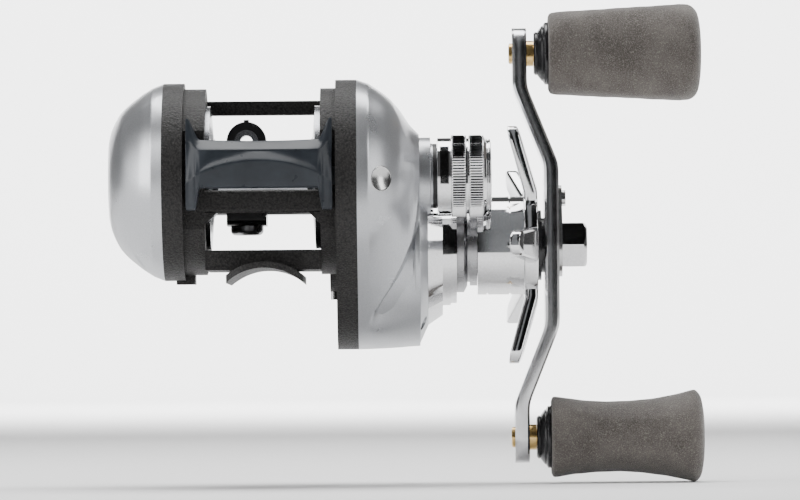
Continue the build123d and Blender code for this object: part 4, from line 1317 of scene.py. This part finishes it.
@dataclass
class Knob:
    """One knob: a foam grip with two thumb hollows on a stepped boot."""

    letter: str
    scoop: float
    waist: float = 8.3
    sweep: float = 58.0
    crown: float = 13.3
    waist_at: float = 14.4
    end_radius: float = 11.4
    neck_radius: float = 9.5

    def hollow(self, x: Array, angle: Array, start: float) -> Array:
        """Give the distance to one hollow's surface: a round crown whose middle lifts away from the waist.

        Args:
            x: Places along the grip.
            angle: Directions from the hollow's own.
            start: The grip's inner end.

        Returns:
            The radius that the hollow leaves.
        """
        major = self.sweep + self.crown
        away = np.clip(np.abs(x - start - self.waist_at), 0, major * 0.98)
        lift = self.waist - self.crown + major - np.sqrt(major**2 - away**2)
        root = np.sqrt(np.clip(self.crown**2 - (lift * np.sin(angle)) ** 2, 0.01, None))
        return lift * np.cos(angle) + root

    def grip(self, finishes: Finishes) -> None:
        """Make the foam grip.

        Args:
            finishes: The object's finishes.
        """
        node = f"knob_{self.letter}_grip"
        axis = axis_of(node)
        start, end = span_of(node)
        line = np.concatenate([
            np.array([(start + 0.02, 5.0), (start, 7.6), (start, 8.4)]),
            through([(start, 8.6), (start + 0.5, 9.45), (start + 2.0, self.neck_radius + 0.3)], 8),
            np.linspace((start + 2.6, self.neck_radius + 0.33), (end - 5.4, self.end_radius - 0.03), 80),
            through([(end - 5.0, self.end_radius), (end - 2.6, self.end_radius - 0.3), (end - 1.0, self.end_radius - 1.8),
                     (end - 0.3, self.end_radius - 4.6), (end - 0.03, 3.4), (end, 0.02)], 40),
        ])
        columns = 200
        angle = np.linspace(0, 2 * pi, columns, endpoint=False)[None, :]
        x = line[:, :1] + 0 * angle
        turned = line[:, 1:] + 0 * angle
        towards = angle - radians(self.scoop)
        hollow = np.minimum(self.hollow(x, towards, start), self.hollow(x, towards + pi, start))
        radius = soft_min(turned, hollow, 0.14)
        radius = np.minimum(radius, turned)
        radius = radius - 0.05 * (1 + np.sin(3 * angle + x * 0.35) * np.cos(x * 0.8)) * smooth(radius, 5.0, 8.0)
        grid = np.stack([x, axis[0] + radius * np.cos(angle), axis[1] + radius * np.sin(angle)], -1)
        skin = Skin()
        skin.grid(grid)
        obj = skin.build(f"knob_{self.letter}_foam", 60.0)
        place(obj, f"knob_{self.letter}", "foam", finishes, node)

    def boot(self, finishes: Finishes) -> None:
        """Make the glossy boot: a stepped cone with a rolled lip, hollow for its post.

        Args:
            finishes: The object's finishes.
        """
        node = f"knob_{self.letter}_boot"
        axis = axis_of(node)
        start = span_of(node)[0]
        lip = span_of(f"knob_{self.letter}_grip")[0] - 0.02
        profile = rounded([
            (start + 0.6, 3.25), (start, 3.4), (start, 4.7), (start + 0.5, 5.15), (start + 0.8, 4.95), (start + 1.0, 5.3),
            (start + 1.9, 6.5), (start + 2.1, 6.4), (start + 2.6, 7.3), (lip, 7.3), (lip, 4.4),
            (lip + 28.0, 4.4), (lip + 29.5, 4.2), (lip + 29.7, 0.01)], 0.16, 3)
        inner = np.array([(lip + 27.6, 0.01), (lip + 27.6, 2.1), (start + 4.0, 2.1), (start + 4.0, 3.25)])
        skin = Skin()
        skin.grid(lathe(np.concatenate([inner, profile]), axis, 120))
        obj = skin.build(f"knob_{self.letter}_cone")
        place(obj, f"knob_{self.letter}", "black_plastic", finishes, node)

    def build(self, finishes: Finishes) -> None:
        """Make the knob.

        Args:
            finishes: The object's finishes.
        """
        self.grip(finishes)
        self.boot(finishes)


# ---------------------------------------------------------------- level wind and clutch
@dataclass
class Worm:
    """The level-wind worm with its two crossed grooves."""

    radius: float = 2.6
    journal: float = 1.6
    depth: float = 0.75
    half_width: float = 0.75
    turns: float = 5.0
    stroke: tuple[float, float] = (-12.6, 11.9)

    def relief(self, x: Array, angle: Array) -> Array:
        """Cut a left-hand and a right-hand helix that cross all along the stroke.

        Args:
            x: Places along the shaft.
            angle: Places round it.

        Returns:
            The change of radius.
        """
        start, end = self.stroke
        phase = 2 * pi * self.turns * (x - start) / (end - start)
        lead = (end - start) / self.turns / (2 * pi)
        gaps = [np.abs((angle - turn * phase + pi) % (2 * pi) - pi) * lead for turn in (1, -1)]
        cut = 1 - smooth(np.minimum(*gaps), self.half_width * 0.55, self.half_width)
        return -self.depth * cut * smooth(x, start - 0.4, start + 0.2) * (1 - smooth(x, end - 0.2, end + 0.4))

    def build(self, finishes: Finishes) -> None:
        """Make the worm.

        Args:
            finishes: The object's finishes.
        """
        axis = axis_of("worm_shaft")
        start, end = span_of("worm_shaft")
        thick = (-14.5, 14.8)
        body = np.stack([np.linspace(thick[0], thick[1], 330), np.full(330, self.radius)], -1)
        ends = [np.array([(start, 0.01), (start, self.journal - 0.2), (start + 0.2, self.journal), (thick[0], self.journal)]),
                np.array([(thick[1], self.journal), (end - 0.2, self.journal), (end, self.journal - 0.2), (end, 0.01)])]
        skin = Skin()
        skin.grid(lathe(np.concatenate([ends[0], body, ends[1]]), axis, 132, self.relief))
        obj = skin.build("worm_crossed_screw")
        place(obj, "worm", "steel", finishes, "worm_shaft")


@dataclass
class YokeSprings:
    """The two coil springs that push the clutch yoke home."""

    wire: float = 0.28
    radius: float = 1.6
    turns: float = 6.0

    def coil(self, y: float, z: float, start: float, end: float) -> Array:
        """Give one coil: a round wire along a helix whose ends lie flat.

        Args:
            y: The post's y.
            z: The post's z.
            start: Where the coil starts.
            end: Where it ends.

        Returns:
            A grid of points.
        """
        t = np.linspace(0, 1, 300)
        angle = 2 * pi * self.turns * t
        rise = start + self.wire + (end - start - 2 * self.wire) * smooth(t, 0.04, 0.96)
        line = np.stack([rise, y + self.radius * np.cos(angle), z + self.radius * np.sin(angle)], -1)
        out = np.stack([np.zeros_like(angle), np.cos(angle), np.sin(angle)], -1)
        ahead = np.gradient(line, axis=0)
        ahead /= np.linalg.norm(ahead, axis=1, keepdims=True)
        up = np.cross(ahead, out)
        around = np.linspace(0, 2 * pi, 14, endpoint=False)[None, :, None]
        return line[:, None] + self.wire * (np.cos(around) * out[:, None] + np.sin(around) * up[:, None])

    def build(self, finishes: Finishes) -> None:
        """Make both springs.

        Args:
            finishes: The object's finishes.
        """
        low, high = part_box("yoke_springs")
        start, end = span_of("yoke_springs")
        reach = 1.9
        skin = Skin()
        for y, z in ((high[1] / MM - reach, high[2] / MM - reach), (low[1] / MM + reach, low[2] / MM + reach)):
            skin.grid(self.coil(y, z, start, end))
        obj = skin.build("yoke_coil_springs")
        place(obj, "yoke", "steel", finishes, "yoke_springs")


# ---------------------------------------------------------------- studio
@dataclass
class Studio:
    """Camera square to the reel's rear, pale floor and soft boxes."""

    aim: tuple[float, float, float] = (31.09 * MM, 0.0, 4.26 * MM)
    distance: float = 1.40
    azimuth: float = 0.0
    elevation: float = -1.0
    roll: float = 0.49
    field_width: float = 186.4 * MM
    sensor: float = 36.0
    card_reach: float = 0.15

    def camera(self) -> None:
        """Place the camera behind the reel."""
        data = bpy.data.cameras.new("camera")
        data.sensor_width = self.sensor
        data.lens = self.sensor * self.distance / self.field_width
        data.clip_start, data.clip_end = 0.01, 20.0
        camera = bpy.data.objects.new("camera", data)
        lift, turn, lean = radians(self.elevation), radians(self.azimuth), radians(self.roll)
        back = Vector((-sin(turn) * cos(lift), -cos(turn) * cos(lift), sin(lift)))
        level = Vector((cos(turn), -sin(turn), 0.0))
        rise = back.cross(level)
        right = level * cos(lean) - rise * sin(lean)
        up = level * sin(lean) + rise * cos(lean)
        turned = Matrix((right, up, back)).transposed().to_4x4()
        camera.matrix_world = Matrix.Translation(Vector(self.aim) + back * self.distance) @ turned
        bpy.context.scene.collection.objects.link(camera)
        bpy.context.scene.camera = camera

    def floor(self) -> None:
        """Lay a wide pale floor that rises behind the reel."""
        low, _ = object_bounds()
        along = np.linspace(0.0, 1.0, 60)
        run = np.where(along < 0.5, -2.2 + along * 10.0, 2.8 + 0.5 * np.sin((along - 0.5) * pi))
        rise = np.where(along < 0.5, 0.0, 0.5 * (1 - np.cos((along - 0.5) * pi)) + 3.0 * (along - 0.5) ** 2)
        across = np.linspace(-2.2, 2.2, 24)
        x, y = np.meshgrid(across, run, indexing="ij")
        z = np.broadcast_to(rise, x.shape) + low[2]
        obj = shell_object("studio_floor", np.stack([x, y, z], -1))
        graph = Graph("studio_paper")
        grain = graph.noise(0.5 * MM, 2.0)
        white = graph.mix(graph.spread(grain, 0.4, 0.6), (0.92, 0.92, 0.92), (0.94, 0.94, 0.94))
        obj.data.materials.append(graph.surface(Base_Color=white, Roughness=0.9))
        obj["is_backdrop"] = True

    def light(self, name: str, place, target, size, power: float, tint: Colour = (1, 1, 1)) -> None:
        """Hang one soft box.

        Args:
            name: Its name.
            place: Its centre.
            target: The point it faces.
            size: Its width and height.
            power: Its power in watts.
            tint: Its colour.
        """
        data = bpy.data.lights.new(name, "AREA")
        data.shape = "RECTANGLE"
        data.size, data.size_y = size
        data.energy = power
        data.color = tint
        obj = bpy.data.objects.new(name, data)
        obj.location = place
        heading = Vector(target) - Vector(place)
        obj.rotation_euler = heading.to_track_quat("-Z", "Y").to_euler()
        bpy.context.scene.collection.objects.link(obj)

    def card(self) -> None:
        """Bend a black card over the handle's metal, on the camera's side, seen only in reflections, where it paints
        dark reflections on the chrome; a grey band over the star hub paints a lighter reflection there.
        """
        turn, x = np.meshgrid(np.radians(np.linspace(-24.0, 96.0, 40)), np.linspace(0.0375, 0.13, 12), indexing="ij")
        y = -0.004 - self.card_reach * np.cos(turn)
        z = 0.020 + self.card_reach * np.sin(turn)
        obj = shell_object("black_card", np.stack([x, y, z], -1))
        graph = Graph("card_velvet")
        # The grey band over the star hub is a painted lighter reflection; the rest of the card paints dark reflections.
        hub_reflection_band = graph.math("MULTIPLY", graph.spread(graph.axis("X"), 0.052, 0.054),
                              graph.spread(graph.axis("X"), 0.066, 0.068, 1.0, 0.0))
        tone = graph.mix(hub_reflection_band, (0.003, 0.003, 0.003), (0.16, 0.165, 0.17))
        obj.data.materials.append(graph.surface(Base_Color=tone, Roughness=1.0, Specular_IOR_Level=0.0))
        obj.visible_camera = obj.visible_diffuse = obj.visible_shadow = False
        obj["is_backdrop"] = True

    def world(self, strength: float = 0.09) -> None:
        """Fill the surroundings with plain white.

        Args:
            strength: Its brightness.
        """
        world = bpy.data.worlds.new("surroundings")
        world.use_nodes = True
        background = world.node_tree.nodes["Background"]
        background.inputs["Color"].default_value = (1.0, 1.0, 1.0, 1.0)
        background.inputs["Strength"].default_value = strength
        bpy.context.scene.world = world

    def build(self) -> None:
        """Set up the whole studio."""
        self.camera()
        self.floor()
        self.world()
        self.card()
        middle = (0.03, 0.0, 0.01)
        self.light("overhead", (0.05, 0.18, 0.85), middle, (1.1, 0.7), 17.0)
        self.light("left", (-0.85, -0.35, 0.28), middle, (0.35, 0.8), 6.5)
        self.light("right", (0.95, -0.40, 0.30), middle, (0.35, 0.8), 3.4)
        self.light("backdrop", (0.0, 1.7, 1.2), (0.0, 3.2, 0.2), (2.8, 0.7), 170.0)


def shell_object(name: str, points: Array) -> bpy.types.Object:
    """Make an open sheet from a grid of points.

    Args:
        name: The object's name.
        points: An array of rows, columns and three coordinates.

    Returns:
        The object, linked to the scene.
    """
    rows, columns = points.shape[:2]
    index = np.arange(rows * columns).reshape(rows, columns)
    quads = np.stack([index[:-1, :-1], index[1:, :-1], index[1:, 1:], index[:-1, 1:]], -1).reshape(-1, 4)
    mesh = bpy.data.meshes.new(name)
    mesh.from_pydata(points.reshape(-1, 3).tolist(), [], quads.tolist())
    mesh.polygons.foreach_set("use_smooth", np.ones(len(quads), bool))
    obj = bpy.data.objects.new(name, mesh)
    bpy.context.scene.collection.objects.link(obj)
    return obj


def corners(bounds) -> list[list[float]]:
    """Turn a box into plain lists.

    Args:
        bounds: Its two corners.

    Returns:
        Two lists of three numbers.
    """
    return [[float(value) for value in corner] for corner in bounds]


def main() -> None:
    """Build the pieces in order, dress them and set the studio."""
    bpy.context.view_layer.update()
    finishes = Finishes()
    finishes.dress_frame()
    PalmCover().build(finishes)
    HandleShell().build(finishes)
    ThumbBar().build(finishes)
    CastControl().build(finishes)
    StarWheel().build(finishes)
    HandleArm().build(finishes)
    Knob("a", 0.0).build(finishes)
    Knob("b", 90.0).build(finishes)
    Worm().build(finishes)
    YokeSprings().build(finishes)
    Studio().build()


if __name__ == "__main__":
    logging.basicConfig(level=logging.INFO)
    main()
